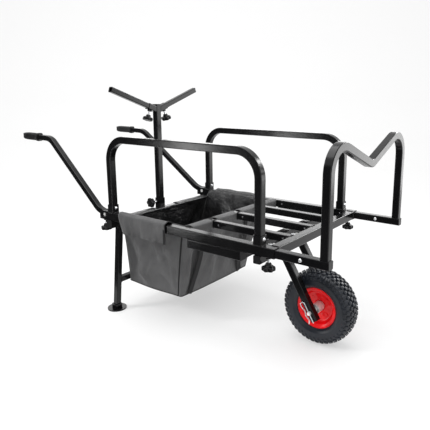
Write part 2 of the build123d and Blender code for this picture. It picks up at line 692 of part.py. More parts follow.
for side, name in sides:
    hinge_face = facing(pivot_x, side * rail_y, pivot_z, (0, 1, 0))
    knob_place = (handle_knob_x, side * rail_y)
    with BuildPart() as hinge_bracket:
        with BuildSketch(Plane.YZ.offset(rail_rear)):
            with Locations((side * rail_y, rail_bottom)):
                Rectangle(bracket_width, bracket_top - rail_bottom, align=(Align.CENTER, Align.MIN))
        extrude(amount=-bracket_length)
        with BuildSketch(Plane.YZ.offset(rail_rear - cheek_thickness)):
            with Locations((side * rail_y, rail_bottom + cheek_thickness)):
                Rectangle(handle_size + 2 * seat_gap, bracket_top, align=(Align.CENTER, Align.MIN))
        extrude(amount=-bracket_length, mode=Mode.SUBTRACT)
        fillet(hinge_bracket.edges().filter_by(Axis.Y).group_by(Axis.X)[0].group_by(Axis.Z)[-1], 12.0)
        with BuildSketch(Plane.XY.offset(rail_bottom - nut_height)):
            with Locations(knob_place):
                RegularPolygon(nut_flats / 2, 6, major_radius=False)
        extrude(amount=nut_height)
        with BuildSketch(Plane.XY.offset(rail_bottom - nut_height)):
            with Locations(knob_place):
                Circle(stud_radius + running_gap)
        extrude(amount=nut_height + cheek_thickness, mode=Mode.SUBTRACT)
        with BuildSketch(hinge_face):
            Circle(hinge_pin_radius + running_gap)
        extrude(amount=bracket_width, both=True, mode=Mode.SUBTRACT)
    hinge_bracket.part.label = f"{name}_hinge_bracket"
    export_step(hinge_bracket.part, f"parts/{name}_hinge_bracket.step")

    grip_slope = atan2(grip_z - upper_bend_z, upper_bend_x - grip_end_x)
    grip_inward = (cos(grip_slope), 0, -sin(grip_slope))
    grip_plane = Plane((grip_end_x, side * grip_y, grip_z), x_dir=(0, 1, 0), z_dir=grip_inward)
    handle_route = (
        (pivot_x, side * rail_y, pivot_z),
        (lower_bend_x, side * rail_y, lower_bend_z),
        (upper_bend_x, side * grip_y, upper_bend_z),
        grip_plane.offset(grip_wall).origin,
    )
    with BuildPart() as handle:
        add(bent_tube(handle_route, handle_bend, handle_size, (0, 1, 0)))
        with BuildSketch(hinge_face):
            Circle(handle_size / 2)
        extrude(amount=handle_size / 2, both=True)
        with BuildSketch(hinge_face):
            Circle(hinge_pin_radius + running_gap)
        extrude(amount=handle_size, both=True, mode=Mode.SUBTRACT)
    handle.part.label = f"{name}_handle"
    export_step(handle.part, f"parts/{name}_handle.step")

    grip_size = handle_size + 2 * grip_wall
    with BuildPart() as grip:
        with BuildSketch(grip_plane):
            RectangleRounded(grip_size, grip_size, grip_corner)
        extrude(amount=grip_length)
        with BuildSketch(grip_plane.offset(grip_length - grip_collar)):
            RectangleRounded(grip_size + grip_wall, grip_size + grip_wall, grip_corner)
        extrude(amount=grip_collar)
        with BuildSketch(grip_plane.offset(grip_wall)):
            RectangleRounded(handle_size, handle_size, tube_corner)
        extrude(amount=grip_length, mode=Mode.SUBTRACT)
    grip.part.label = f"{name}_grip"
    export_step(grip.part, f"parts/{name}_grip.step")

    with BuildPart() as handle_knob:
        add(star_knob(facing(handle_knob_x, side * rail_y, handle_knob_face, (0, 0, 1)), handle_stud))
    handle_knob.part.label = f"{name}_handle_knob"
    export_step(handle_knob.part, f"parts/{name}_handle_knob.step")

with BuildPart() as hinge_pins:
    for side, name in sides:
        for face in (-1, 1):
            place = facing(pivot_x, side * rail_y + face * bracket_width / 2, pivot_z, (0, face, 0))
            add(dome_head(place, hinge_head_radius, hinge_head_height, hinge_pin_radius, bracket_width / 2))
hinge_pins.part.label = "hinge_pins"
export_step(hinge_pins.part, "parts/hinge_pins.step")

# ================================ MAST AND REST ==================================================
mast_x = rear_cross_x - rail_size
mast_top = deck_top + 393.0
mast_cap_height = 3.0
mast_floor = 3.0
mast_knob_z = deck_top - 11.0
mast_knob_face = rail_size / 2 + nut_height + 14.0
mast_socket_base = rail_bottom - rail_size
mast_socket_top = mast_knob_z + 13.0
mast_nut_face = facing(mast_x, -rail_size / 2, mast_knob_z, (0, -1, 0))
with BuildPart() as mast_socket:
    mast_socket_length = mast_socket_top - mast_socket_base
    add(straight_tube(facing(mast_x, 0, mast_socket_base, (0, 0, 1)), mast_socket_length, rail_size))
    with BuildSketch(Plane.XY.offset(mast_socket_base)):
        with Locations((mast_x, 0)):
            Rectangle(rail_size - tube_wall, rail_size - tube_wall)
    extrude(amount=mast_floor)
    with BuildSketch(mast_nut_face):
        RegularPolygon(nut_flats / 2, 6, major_radius=False)
    extrude(amount=nut_height)
    with BuildSketch(mast_nut_face):
        Circle(stud_radius + running_gap)
    extrude(amount=nut_height, mode=Mode.SUBTRACT)
    with BuildSketch(mast_nut_face):
        Circle(stud_radius + running_gap)
    extrude(amount=-tube_wall, mode=Mode.SUBTRACT)
mast_socket.part.label = "mast_socket"
export_step(mast_socket.part, "parts/mast_socket.step")

mast_base = mast_socket_base + mast_floor + seat_gap
with BuildPart() as mast:
    mast_length = mast_top - mast_cap_height - mast_base
    add(straight_tube(facing(mast_x, 0, mast_base, (0, 0, 1)), mast_length, insert_size))
mast.part.label = "mast"
export_step(mast.part, "parts/mast.step")

with BuildPart() as mast_cap:
    with BuildSketch(Plane.XY.offset(mast_top - mast_cap_height)):
        with Locations((mast_x, 0)):
            RectangleRounded(insert_size + 1.0, insert_size + 1.0, tube_corner)
    extrude(amount=mast_cap_height)
mast_cap.part.label = "mast_cap"
export_step(mast_cap.part, "parts/mast_cap.step")

with BuildPart() as mast_knob:
    stud = mast_knob_face - insert_size / 2 - seat_gap
    add(star_knob(facing(mast_x, -mast_knob_face, mast_knob_z, (0, 1, 0)), stud))
mast_knob.part.label = "mast_knob"
export_step(mast_knob.part, "parts/mast_knob.step")

# V rest: two short sockets welded to the mast's sides, each with an arm that slides in it.
rest_z = mast_top - 24.0
rest_reach = 228.0
rest_rise = 81.0
arm_size = 20.0
arm_gap = 0.4
arm_socket_wall = 1.6
arm_socket_size = arm_size + 2 * arm_gap + 2 * arm_socket_wall
arm_socket_end = 52.0
arm_knob_at = 37.0
arm_knob_drop = arm_socket_size / 2 + nut_height + 14.0
rest_angle = atan2(rest_rise, rest_reach)
arm_end = hypot(rest_reach, rest_rise)
arm_start = (insert_size / 2 + seat_gap + arm_size / 2 * sin(rest_angle)) / cos(rest_angle)


def rest_point(side, along, below):
    """A point by its distance along an arm and its distance below the arm's centre line."""
    y = along * cos(rest_angle) + below * sin(rest_angle)
    z = along * sin(rest_angle) - below * cos(rest_angle)
    return (mast_x, side * y, rest_z + z)


def rest_socket(side):
    """One short socket, cut to meet the mast's side, with a nut welded under it."""
    outwards = (0, side * cos(rest_angle), sin(rest_angle))
    downwards = (0, side * sin(rest_angle), -cos(rest_angle))
    vertex = facing(*rest_point(side, 0, 0), outwards)
    nut_top = facing(*rest_point(side, arm_knob_at, arm_socket_size / 2), downwards)
    with BuildPart() as socket:
        add(straight_tube(vertex, arm_socket_end, arm_socket_size, arm_socket_wall))
        split(bisect_by=facing(mast_x, side * insert_size / 2, rest_z, (0, side, 0)), keep=Keep.TOP)
        with BuildSketch(nut_top):
            RegularPolygon(nut_flats / 2, 6, major_radius=False)
        extrude(amount=nut_height)
        with BuildSketch(nut_top.offset(-arm_socket_wall)):
            Circle(stud_radius + running_gap)
        extrude(amount=arm_socket_wall + nut_height, mode=Mode.SUBTRACT)
    return socket.part


with BuildPart() as rest_sockets:
    for side, name in sides:
        add(rest_socket(side))
rest_sockets.part.label = "rest_sockets"
export_step(rest_sockets.part, "parts/rest_sockets.step")

for side, name in sides:
    outwards = (0, side * cos(rest_angle), sin(rest_angle))
    upwards = (0, -side * sin(rest_angle), cos(rest_angle))
    with BuildPart() as rest_arm:
        add(straight_tube(facing(*rest_point(side, arm_start, 0), outwards), arm_end - arm_start, arm_size))
    rest_arm.part.label = f"{name}_rest_arm"
    export_step(rest_arm.part, f"parts/{name}_rest_arm.step")

    with BuildPart() as rest_knob:
        stud = arm_knob_drop - arm_size / 2 - seat_gap
        add(star_knob(facing(*rest_point(side, arm_knob_at, arm_knob_drop), upwards), stud))
    rest_knob.part.label = f"{name}_rest_knob"
    export_step(rest_knob.part, f"parts/{name}_rest_knob.step")

# ================================ BASKET =========================================================
# A tapered fabric shell between the rails, with flaps over the rails and both cross tubes.
cloth = 2.0
bag_floor_z = deck_top - 302.0
bag_floor_rear = axle_x - 744.0
bag_floor_front = axle_x - 471.0
bag_floor_y = 197.0
bag_rear = axle_x - 714.0
bag_front = middle_cross_x - rail_size / 2 - seat_gap
bag_side = rail_inner_y - seat_gap
bag_neck_z = rail_bottom - 3.0
flap_top = deck_top + seat_gap + cloth
rear_flap_top = rail_bottom + seat_gap + cloth
side_flap_rear = axle_x - 702.0
side_flap_front = axle_x - 440.0
side_flap_drop = 67.0
front_flap_drop = 30.0
flap_inset = 6.0
rear_flap_drop = 22.0
rear_flap_notch = 64.0
rail_notch = tube_size + 6.0


def rectangle_at(rear, front, half_width, shrink=0.0):
    """A level rectangle between two X positions, drawn in the open sketch."""
    with Locations(((rear + front) / 2, 0)):
        Rectangle(front - rear - 2 * shrink, 2 * (half_width - shrink))


with BuildPart() as bag:
    with BuildSketch(Plane.XY.offset(bag_floor_z)):
        rectangle_at(bag_floor_rear, bag_floor_front, bag_floor_y)
    with BuildSketch(Plane.XY.offset(bag_neck_z)):
        rectangle_at(bag_rear, bag_front, bag_side)
    loft()
    with BuildSketch(Plane.XY.offset(bag_neck_z)):
        rectangle_at(bag_rear, bag_front, bag_side)
    extrude(amount=flap_top - bag_neck_z)
    # rear wall: down to the level of the rear flap
    with BuildSketch(Plane.XY.offset(rear_flap_top)):
        rectangle_at(bag_rear, side_flap_rear, bag_side)
    extrude(amount=flap_top, mode=Mode.SUBTRACT)
    # side flaps: over each rail and down its outside
    for side, name in sides:
        with BuildSketch(Plane.YZ.offset(side_flap_rear)):
            with BuildLine():
                Polyline(
                    (side * (bag_side - cloth), flap_top),
                    (side * (rail_outer_y + seat_gap + cloth), flap_top),
                    (side * (rail_outer_y + seat_gap + cloth), deck_top - side_flap_drop),
                    (side * (rail_outer_y + seat_gap), deck_top - side_flap_drop),
                    (side * (rail_outer_y + seat_gap), flap_top - cloth),
                    (side * (bag_side - cloth), flap_top - cloth),
                    close=True,
                )
            make_face()
        extrude(amount=side_flap_front - side_flap_rear)
    # front flap: over the middle cross tube and down its front, notched for the inner rails
    front_flap_front = middle_cross_x + rail_size / 2 + seat_gap + cloth
    with BuildSketch(Plane.XZ.offset(-(bag_side - flap_inset))):
        with BuildLine():
            Polyline(
                (bag_front - cloth, flap_top),
                (front_flap_front, flap_top),
                (front_flap_front, deck_top - front_flap_drop),
                (front_flap_front - cloth, deck_top - front_flap_drop),
                (front_flap_front - cloth, flap_top - cloth),
                (bag_front - cloth, flap_top - cloth),
                close=True,
            )
        make_face()
    extrude(amount=2 * (bag_side - flap_inset))
    with BuildSketch(Plane.XY.offset(deck_top - front_flap_drop)):
        with Locations(*[(front_flap_front, y) for y in (-inner_rail_pitch, 0, inner_rail_pitch)]):
            Rectangle(2 * cloth + 1.0, rail_notch)
    extrude(amount=flap_top, mode=Mode.SUBTRACT)
    # rear flap: over the rear cross tube and down its back, notched for the mast
    rear_flap_rear = rear_cross_x - rail_size / 2 - seat_gap - cloth
    with BuildSketch(Plane.XZ.offset(-(bag_side - flap_inset))):
        with BuildLine():
            Polyline(
                (bag_rear + cloth, rear_flap_top),
                (rear_flap_rear, rear_flap_top),
                (rear_flap_rear, rail_bottom - rear_flap_drop),
                (rear_flap_rear + cloth, rail_bottom - rear_flap_drop),
                (rear_flap_rear + cloth, rear_flap_top - cloth),
                (bag_rear + cloth, rear_flap_top - cloth),
                close=True,
            )
        make_face()
    extrude(amount=2 * (bag_side - flap_inset))
    with BuildSketch(Plane.XY.offset(rail_bottom - rear_flap_drop)):
        with Locations((rear_flap_rear, 0)):
            Rectangle(8 * cloth, 2 * rear_flap_notch)
    extrude(amount=flap_top, mode=Mode.SUBTRACT)
    # the hollow
    with BuildSketch(Plane.XY.offset(bag_floor_z + cloth)):
        rectangle_at(bag_floor_rear, bag_floor_front, bag_floor_y, cloth)
    with BuildSketch(Plane.XY.offset(bag_neck_z)):
        rectangle_at(bag_rear, bag_front, bag_side, cloth)
    loft(mode=Mode.SUBTRACT)
    with BuildSketch(Plane.XY.offset(bag_neck_z)):
        rectangle_at(bag_rear, bag_front, bag_side, cloth)
    extrude(amount=flap_top, mode=Mode.SUBTRACT)
bag.part.label = "bag"
export_step(bag.part, "parts/bag.step")

# Webbing straps: from under the middle cross tube to the basket's bottom front edge.
strap_width = 25.0
strap_y = 165.0
with BuildPart() as bag_straps:
    for side, name in sides:
        with BuildSketch(facing(0, side * strap_y, 0, (0, -1, 0))):
            with BuildLine():
                Polyline(
                    (middle_cross_x + 8.0, rail_bottom - seat_gap),
                    (middle_cross_x + 8.0 + cloth, rail_bottom - seat_gap),
                    (bag_floor_front + 3.0 + cloth, bag_floor_z),
                    (bag_floor_front + 3.0, bag_floor_z),
                    close=True,
                )
            make_face()
        extrude(amount=strap_width / 2, both=True)
bag_straps.part.label = "bag_straps"
export_step(bag_straps.part, "parts/bag_straps.step")
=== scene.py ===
import json
import math
import bmesh
import bpy
from mathutils import Matrix, Vector


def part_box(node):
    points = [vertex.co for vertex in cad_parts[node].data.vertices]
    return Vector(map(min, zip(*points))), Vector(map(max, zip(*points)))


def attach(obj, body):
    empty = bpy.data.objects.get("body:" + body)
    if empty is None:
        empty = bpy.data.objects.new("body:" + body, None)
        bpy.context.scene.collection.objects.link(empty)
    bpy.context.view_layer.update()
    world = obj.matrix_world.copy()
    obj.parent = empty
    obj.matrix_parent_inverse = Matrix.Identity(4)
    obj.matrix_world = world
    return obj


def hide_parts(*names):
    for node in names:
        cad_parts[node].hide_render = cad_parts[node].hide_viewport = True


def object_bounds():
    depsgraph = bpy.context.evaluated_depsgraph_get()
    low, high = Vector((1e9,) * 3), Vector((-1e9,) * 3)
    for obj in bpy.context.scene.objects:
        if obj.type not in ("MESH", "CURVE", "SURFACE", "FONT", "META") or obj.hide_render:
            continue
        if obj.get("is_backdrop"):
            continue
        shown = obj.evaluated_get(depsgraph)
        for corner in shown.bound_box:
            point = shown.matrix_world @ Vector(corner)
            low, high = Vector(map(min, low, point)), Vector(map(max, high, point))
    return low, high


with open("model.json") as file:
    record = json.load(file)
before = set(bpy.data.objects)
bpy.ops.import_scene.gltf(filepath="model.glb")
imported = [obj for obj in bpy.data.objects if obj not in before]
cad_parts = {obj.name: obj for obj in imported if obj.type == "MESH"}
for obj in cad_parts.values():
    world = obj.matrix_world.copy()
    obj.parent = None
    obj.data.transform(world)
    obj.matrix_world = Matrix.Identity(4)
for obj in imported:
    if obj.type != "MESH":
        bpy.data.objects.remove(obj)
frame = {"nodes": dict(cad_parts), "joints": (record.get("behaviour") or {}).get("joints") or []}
nodes = frame["nodes"]
cad_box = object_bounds()


# ---------------------------------------------------------------------------------------------
# Steel frame. Square steel tubes, cut, bent and welded, then powder coated in gloss black.
# The deck, fork, legs, hoops, mast and handles all carry this one coat; its faces show a fine
# orange-peel texture, and the coat is rubbed a little duller where gear slides over it.
class Field:
    """A node's output: the operators below add Math nodes to the same graph."""

    def __init__(self, graph, socket):
        self.graph = graph
        self.socket = socket

    def math(self, operation, *values):
        return self.graph.node("ShaderNodeMath", {"operation": operation}, dict(enumerate(values)))

    def __add__(self, other):
        return self.math("ADD", self, other)

    def __radd__(self, other):
        return self.math("ADD", other, self)

    def __sub__(self, other):
        return self.math("SUBTRACT", self, other)

    def __rsub__(self, other):
        return self.math("SUBTRACT", other, self)

    def __mul__(self, other):
        return self.math("MULTIPLY", self, other)

    def __rmul__(self, other):
        return self.math("MULTIPLY", other, self)

    def __truediv__(self, other):
        return self.math("DIVIDE", self, other)

    def __rtruediv__(self, other):
        return self.math("DIVIDE", other, self)

    def sine(self):
        return self.math("SINE", self)

    def size(self):
        return self.math("ABSOLUTE", self)


class Graph:
    """A node tree that is being built, for a material or for geometry."""

    def __init__(self, tree):
        self.tree = tree

    def node(self, kind, settings=None, values=None, output=0):
        """Adds a node, applies its settings, then its sockets' values or links, and gives one output."""
        made = self.tree.nodes.new(kind)
        for name, value in (settings or {}).items():
            if name == "stops":
                while len(made.color_ramp.elements) < len(value):
                    made.color_ramp.elements.new(1.0)
                for stop, (place, colour) in zip(made.color_ramp.elements, value):
                    stop.position = place
                    stop.color = (*colour, 1.0)
            else:
                setattr(made, name, value)
        for socket, value in (values or {}).items():
            if isinstance(value, Field):
                self.tree.links.new(value.socket, made.inputs[socket])
            else:
                made.inputs[socket].default_value = value
        return Field(self, made.outputs[output]) if made.outputs else made

    def noise(self, place, scale, detail=3.0, rough=0.5):
        """Cloudy noise, from 0 to 1, finer the higher its scale."""
        values = {"Vector": place, "Scale": scale, "Detail": detail, "Roughness": rough}
        return self.node("ShaderNodeTexNoise", None, values)

    def ramp(self, amount, *stops):
        """A colour by amount; each stop is its place and its colour."""
        return self.node("ShaderNodeValToRGB", {"stops": stops}, {0: amount})

    def between(self, amount, low, high):
        """A number that goes from low to high as the amount goes from 0 to 1."""
        return self.node("ShaderNodeMapRange", None, {0: amount, 3: low, 4: high})

    def bump(self, height, depth, under=None):
        """Relief that is depth metres deep, on top of another relief if there is one."""
        values = {"Height": height, "Distance": depth, "Strength": 1.0}
        if under is not None:
            values["Normal"] = under
        return self.node("ShaderNodeBump", None, values)


def new_finish(name):
    """An empty material and the graph of its nodes."""
    material = bpy.data.materials.new(name)
    material.use_nodes = True
    material.node_tree.nodes.clear()
    return material, Graph(material.node_tree)


def close_finish(graph, **sockets):
    """The surface shader: sockets are given with underscores for spaces."""
    values = {name.replace("_", " "): value for name, value in sockets.items()}
    shader = graph.node("ShaderNodeBsdfPrincipled", None, values)
    graph.node("ShaderNodeOutputMaterial", None, {"Surface": shader})


def object_place(graph):
    """Places on the piece itself, in metres, so that a finish stays with it when it moves."""
    return graph.node("ShaderNodeTexCoord", output=3)


def powder_coat():
    """Gloss black with orange peel, cloudy in tone and rubbed duller in patches."""
    material, g = new_finish("black_powder_coat")
    place = object_place(g)
    peel = g.noise(place, 420.0, 2.0)
    cloud = g.noise(place, 9.0, 4.0)
    scuff = g.noise(place, 55.0, 6.0, 0.7)
    colour = g.ramp(cloud, (0.30, (0.0035, 0.0035, 0.0038)), (0.72, (0.0070, 0.0070, 0.0075)))
    worn = g.between(scuff * cloud, 0.12, 0.34)
    close_finish(
        g,
        Base_Color=colour,
        Roughness=worn,
        Normal=g.bump(peel, 0.00012),
        Specular_IOR_Level=0.30,
    )
    return material


coat = powder_coat()
coated_nodes = (
    "left_rail right_rail front_cross_tube middle_cross_tube rear_cross_tube inner_rails lower_side_tubes "
    "fork_cross_tube front_lower_tube left_fork_arm right_fork_arm left_leg right_leg leg_brace feet "
    "side_bar_sockets left_side_bar right_side_bar front_bar front_bar_tubes left_hinge_bracket "
    "right_hinge_bracket left_handle right_handle mast_socket mast rest_sockets left_rest_arm right_rest_arm"
).split()


def wear(names, material):
    """Gives CAD nodes a material."""
    for name in names:
        mesh = nodes[name].data
        mesh.materials.clear()
        mesh.materials.append(material)


wear(coated_nodes, coat)


# ---------------------------------------------------------------------------------------------
# Weld beads. Each tube joint is closed by a MIG bead, a row of overlapping round ripples that
# is coated over with the frame. The beads run round the tube's outline where it meets the next.
weld_pitch = 0.0022
weld_size = (0.0050, 0.0050, 0.0042)
rail_low, rail_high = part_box("left_rail")
rail_half = (rail_high.y - rail_low.y) / 2
rail_y = (rail_high.y + rail_low.y) / 2
tube_half = 0.0125
leg_half = 0.0110
fork_arm_top = 0.0146
fork_arm_slant = 1.16


def bead_tree():
    """Geometry nodes: one small blob at each pitch along the edges, lengthways along them."""
    tree = bpy.data.node_groups.new("bead_row", "GeometryNodeTree")
    face = tree.interface
    face.new_socket("Geometry", in_out="INPUT", socket_type="NodeSocketGeometry")
    face.new_socket("Pitch", in_out="INPUT", socket_type="NodeSocketFloat")
    face.new_socket("Size", in_out="INPUT", socket_type="NodeSocketVector")
    face.new_socket("Material", in_out="INPUT", socket_type="NodeSocketMaterial")
    face.new_socket("Geometry", in_out="OUTPUT", socket_type="NodeSocketGeometry")
    g = Graph(tree)
    way_in = tree.nodes.new("NodeGroupInput")
    lines, pitch, size, material = (Field(g, way_in.outputs[i]) for i in range(4))
    curve = g.node("GeometryNodeMeshToCurve", None, {0: lines})
    points = g.node("GeometryNodeCurveToPoints", {"mode": "LENGTH"}, {"Curve": curve, "Length": pitch})
    turn = Field(g, points.socket.node.outputs["Rotation"])
    blob = g.node("GeometryNodeMeshIcoSphere", None, {"Radius": 0.5, "Subdivisions": 2})
    values = {"Points": points, "Instance": blob, "Rotation": turn, "Scale": size}
    row = g.node("GeometryNodeInstanceOnPoints", None, values)
    solid = g.node("GeometryNodeRealizeInstances", None, {0: row})
    smooth = g.node("GeometryNodeSetShadeSmooth", None, {0: solid})
    done = g.node("GeometryNodeSetMaterial", None, {"Geometry": smooth, "Material": material})
    g.node("NodeGroupOutput", None, {0: done})
    return tree


beads = bead_tree()


def new_mesh(name, points, faces=(), edges=()):
    """A mesh object at the origin, from its points and faces."""
    mesh = bpy.data.meshes.new(name)
    mesh.from_pydata([tuple(p) for p in points], list(edges), list(faces))
    mesh.update()
    piece = bpy.data.objects.new(name, mesh)
    bpy.context.scene.collection.objects.link(piece)
    return piece


def baked(piece):
    """Turns a piece with modifiers into a plain mesh."""
    bpy.context.view_layer.update()
    shape = piece.evaluated_get(bpy.context.evaluated_depsgraph_get())
    mesh = bpy.data.meshes.new_from_object(shape)
    mesh.name = piece.name
    piece.modifiers.clear()
    piece.data = mesh
    return piece


def set_inputs(modifier, **values):
    """Sets a modifier's inputs, each found by its name and set by its identifier."""
    for item in modifier.node_group.interface.items_tree:
        if item.in_out == "INPUT" and item.name in values:
            modifier[item.identifier] = values[item.name]


def bead_row(name, lines, pitch, size, material, body):
    """A piece made of rows of beads along open lines or closed loops of points."""
    points = []
    edges = []
    for line in lines:
        first = len(points)
        points += line
        edges += [(first + i, first + i + 1) for i in range(len(line) - 1)]
    piece = new_mesh(name, points, edges=edges)
    modifier = piece.modifiers.new("beads", "NODES")
    modifier.node_group = beads
    set_inputs(modifier, Pitch=pitch, Size=size, Material=material)
    baked(piece)
    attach(piece, body)
    return piece


def square_loop(centre, across, up, half):
    """Points round a square tube's outline, closed, with its corners cut a little."""
    corners = [(-1, -1), (1, -1), (1, 1), (-1, 1)]
    keep, cut = 0.86, 0.14
    loop = []
    for i in range(4):
        first, second = corners[i], corners[(i + 1) % 4]
        for near, far in ((first, second), (second, first)):
            x = keep * near[0] + cut * far[0]
            y = keep * near[1] + cut * far[1]
            loop.append(Vector(centre) + across * (half * x) + up * (half * y))
    loop.append(loop[0].copy())
    return loop


X, Y, Z = Vector((1, 0, 0)), Vector((0, 1, 0)), Vector((0, 0, 1))
weld_lines = []
for cross in ("front_cross_tube", "middle_cross_tube"):
    low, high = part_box(cross)
    for end in (low.y, high.y):
        weld_lines.append(square_loop(((low.x + high.x) / 2, end, (low.z + high.z) / 2), X, Z, rail_half))
low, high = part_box("inner_rails")
for end in (low.x, high.x):
    for line_y in (low.y + tube_half, 0.0, high.y - tube_half):
        weld_lines.append(square_loop((end, line_y, (low.z + high.z) / 2), Y, Z, tube_half))
low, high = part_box("side_bar_sockets")
for end in (low.x + rail_half, high.x - rail_half):
    for side in (-1, 1):
        weld_lines.append(square_loop((end, side * rail_y, low.z), X, Y, rail_half))
for name in ("left_fork_arm", "right_fork_arm"):
    low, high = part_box(name)
    top = (low.x + fork_arm_top, (low.y + high.y) / 2, high.z)
    weld_lines.append(square_loop(top, X * fork_arm_slant, Y, tube_half))
for name in ("left_leg", "right_leg"):
    low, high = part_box(name)
    weld_lines.append(square_loop((high.x - leg_half, (low.y + high.y) / 2, high.z), X, Y, leg_half))
low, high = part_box("leg_brace")
for end in (low.y, high.y):
    weld_lines.append(square_loop(((low.x + high.x) / 2, end, (low.z + high.z) / 2), X, Z, leg_half))
frame_welds = bead_row("frame_welds", weld_lines, weld_pitch, weld_size, coat, "frame")


# ---------------------------------------------------------------------------------------------
# Plugs. Moulded black plastic plugs close the open tube ends; they are pushed in by hand.
# Their faces have the fine, even grain of the mould and are a little greyer than the coat.
def moulded_plastic(name, colour, grain, roughness):
    """Black plastic with the mould's grain, which is finer the higher its number."""
    material, g = new_finish(name)
    place = object_place(g)
    fine = g.noise(place, grain, 2.0)
    cloud = g.noise(place, 14.0, 3.0)
    lighter = tuple(min(1.0, c * 1.7) for c in colour)
    close_finish(
        g,
        Base_Color=g.ramp(cloud, (0.3, colour), (0.75, lighter)),
        Roughness=g.between(cloud, roughness - 0.07, roughness + 0.08),
        Normal=g.bump(fine, 0.00015),
        Specular_IOR_Level=0.28,
    )
    return material


plug_plastic = moulded_plastic("plug_plastic", (0.006, 0.006, 0.0065), 700.0, 0.36)
wear(("frame_end_caps", "front_bar_caps", "mast_cap"), plug_plastic)


# ---------------------------------------------------------------------------------------------
# Fasteners. Domed screws, bolts and spring clips are bright chromium plated; pins, axle, hub
# and bearings are zinc plated steel with fine turning marks; rivets are blackened. Each is
# pushed or screwed through the tubes it holds.
def plated(name, colour, roughness, brushed, metallic):
    """Plated steel, with turning marks that are as deep as the fourth value says."""
    material, g = new_finish(name)
    place = object_place(g)
    stretched = g.node("ShaderNodeMapping", None, {"Vector": place, "Scale": (1.0, 7.0, 1.0)})
    marks = g.noise(stretched, 260.0, 3.0)
    cloud = g.noise(place, 60.0, 3.0)
    duller = tuple(c * 0.72 for c in colour)
    close_finish(
        g,
        Base_Color=g.ramp(cloud, (0.3, duller), (0.7, colour)),
        Metallic=metallic,
        Roughness=g.between(marks, roughness * 0.6, roughness * 1.4),
        Normal=g.bump(marks, brushed),
    )
    return material


chrome = plated("bright_chrome", (0.90, 0.91, 0.93), 0.12, 0.00002, 0.80)
zinc = plated("zinc_plate", (0.72, 0.72, 0.71), 0.30, 0.00008, 0.65)
hub_zinc = plated("hub_zinc", (0.88, 0.88, 0.87), 0.32, 0.00006, 0.30)
dark_zinc = plated("dark_rivet", (0.22, 0.22, 0.23), 0.30, 0.00004, 0.85)
wear(("side_bar_screws", "front_bar_bolts", "fork_clips", "axle_clip"), chrome)
wear(("fork_pins", "hinge_pins", "wheel_bearings"), zinc)
wear(("axle", "axle_spacers", "hub"), hub_zinc)
wear(("frame_rivets",), dark_zinc)


# ---------------------------------------------------------------------------------------------
# Tyre. A hollow moulded rubber tyre on an inner tube: smooth sidewalls with thin raised rings,
# and a block tread whose shoulder lugs run a little way down the sides. It grips the rim's
# flanges by its beads.
wheel_low, wheel_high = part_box("tyre")
axle_place = (wheel_low + wheel_high) / 2
tyre_radius = (wheel_high.z - wheel_low.z) / 2
lug_height = 0.0050
lugs_around = 42


def tyre_rubber():
    """Blue black rubber with a low gloss and a fine grain."""
    material, g = new_finish("tyre_rubber")
    place = object_place(g)
    grain = g.noise(place, 380.0, 4.0)
    cloud = g.noise(place, 16.0, 4.0)
    close_finish(
        g,
        Base_Color=g.ramp(cloud, (0.25, (0.0070, 0.0090, 0.0135)), (0.80, (0.0170, 0.0210, 0.0300))),
        Roughness=g.between(grain, 0.26, 0.42),
        Normal=g.bump(grain, 0.00012),
        Specular_IOR_Level=0.42,
    )
    return material


rubber = tyre_rubber()
wear(("inner_tube", "valve_stem"), rubber)


def hoop_faces(steps, count):
    """Faces of a hoop that has steps sections of count points, closed both ways."""
    faces = []
    for i in range(steps):
        j = (i + 1) % steps
        for k in range(count):
            n = (k + 1) % count
            faces.append((i * count + k, i * count + n, j * count + n, j * count + k))
    return faces


def turned(name, profile, centre, steps, ripple=None):
    """A ring turned about the wheel's axis; the profile is closed, as (across, outwards) in metres."""
    points = []
    for i in range(steps):
        angle = 2 * math.pi * i / steps
        for across, out in profile:
            shift = ripple(angle, across, out) if ripple else 0.0
            points.append(centre + Vector((out * math.sin(angle), across + shift, out * math.cos(angle))))
    return outward(new_mesh(name, points, hoop_faces(steps, len(profile))))


def outward(piece, smooth=True):
    """Turns every face outwards and sets the shading."""
    shape = bmesh.new()
    shape.from_mesh(piece.data)
    bmesh.ops.remove_doubles(shape, verts=shape.verts, dist=1e-6)
    bmesh.ops.recalc_face_normals(shape, faces=shape.faces)
    shape.to_mesh(piece.data)
    shape.free()
    for face in piece.data.polygons:
        face.use_smooth = smooth
    return piece


def smooth_line(points, steps):
    """A Catmull-Rom line through points in two dimensions."""
    line = []
    padded = [points[0], *points, points[-1]]
    for i in range(1, len(padded) - 2):
        a, b, c, d = (Vector(p) for p in padded[i - 1:i + 3])
        for k in range(steps):
            t = k / steps
            second = (2 * a - 5 * b + 4 * c - d) * t ** 2
            third = (3 * b - a - 3 * c + d) * t ** 3
            line.append(0.5 * (2 * b + (c - a) * t + second + third))
    line.append(Vector(points[-1]))
    return [(p[0], p[1]) for p in line]


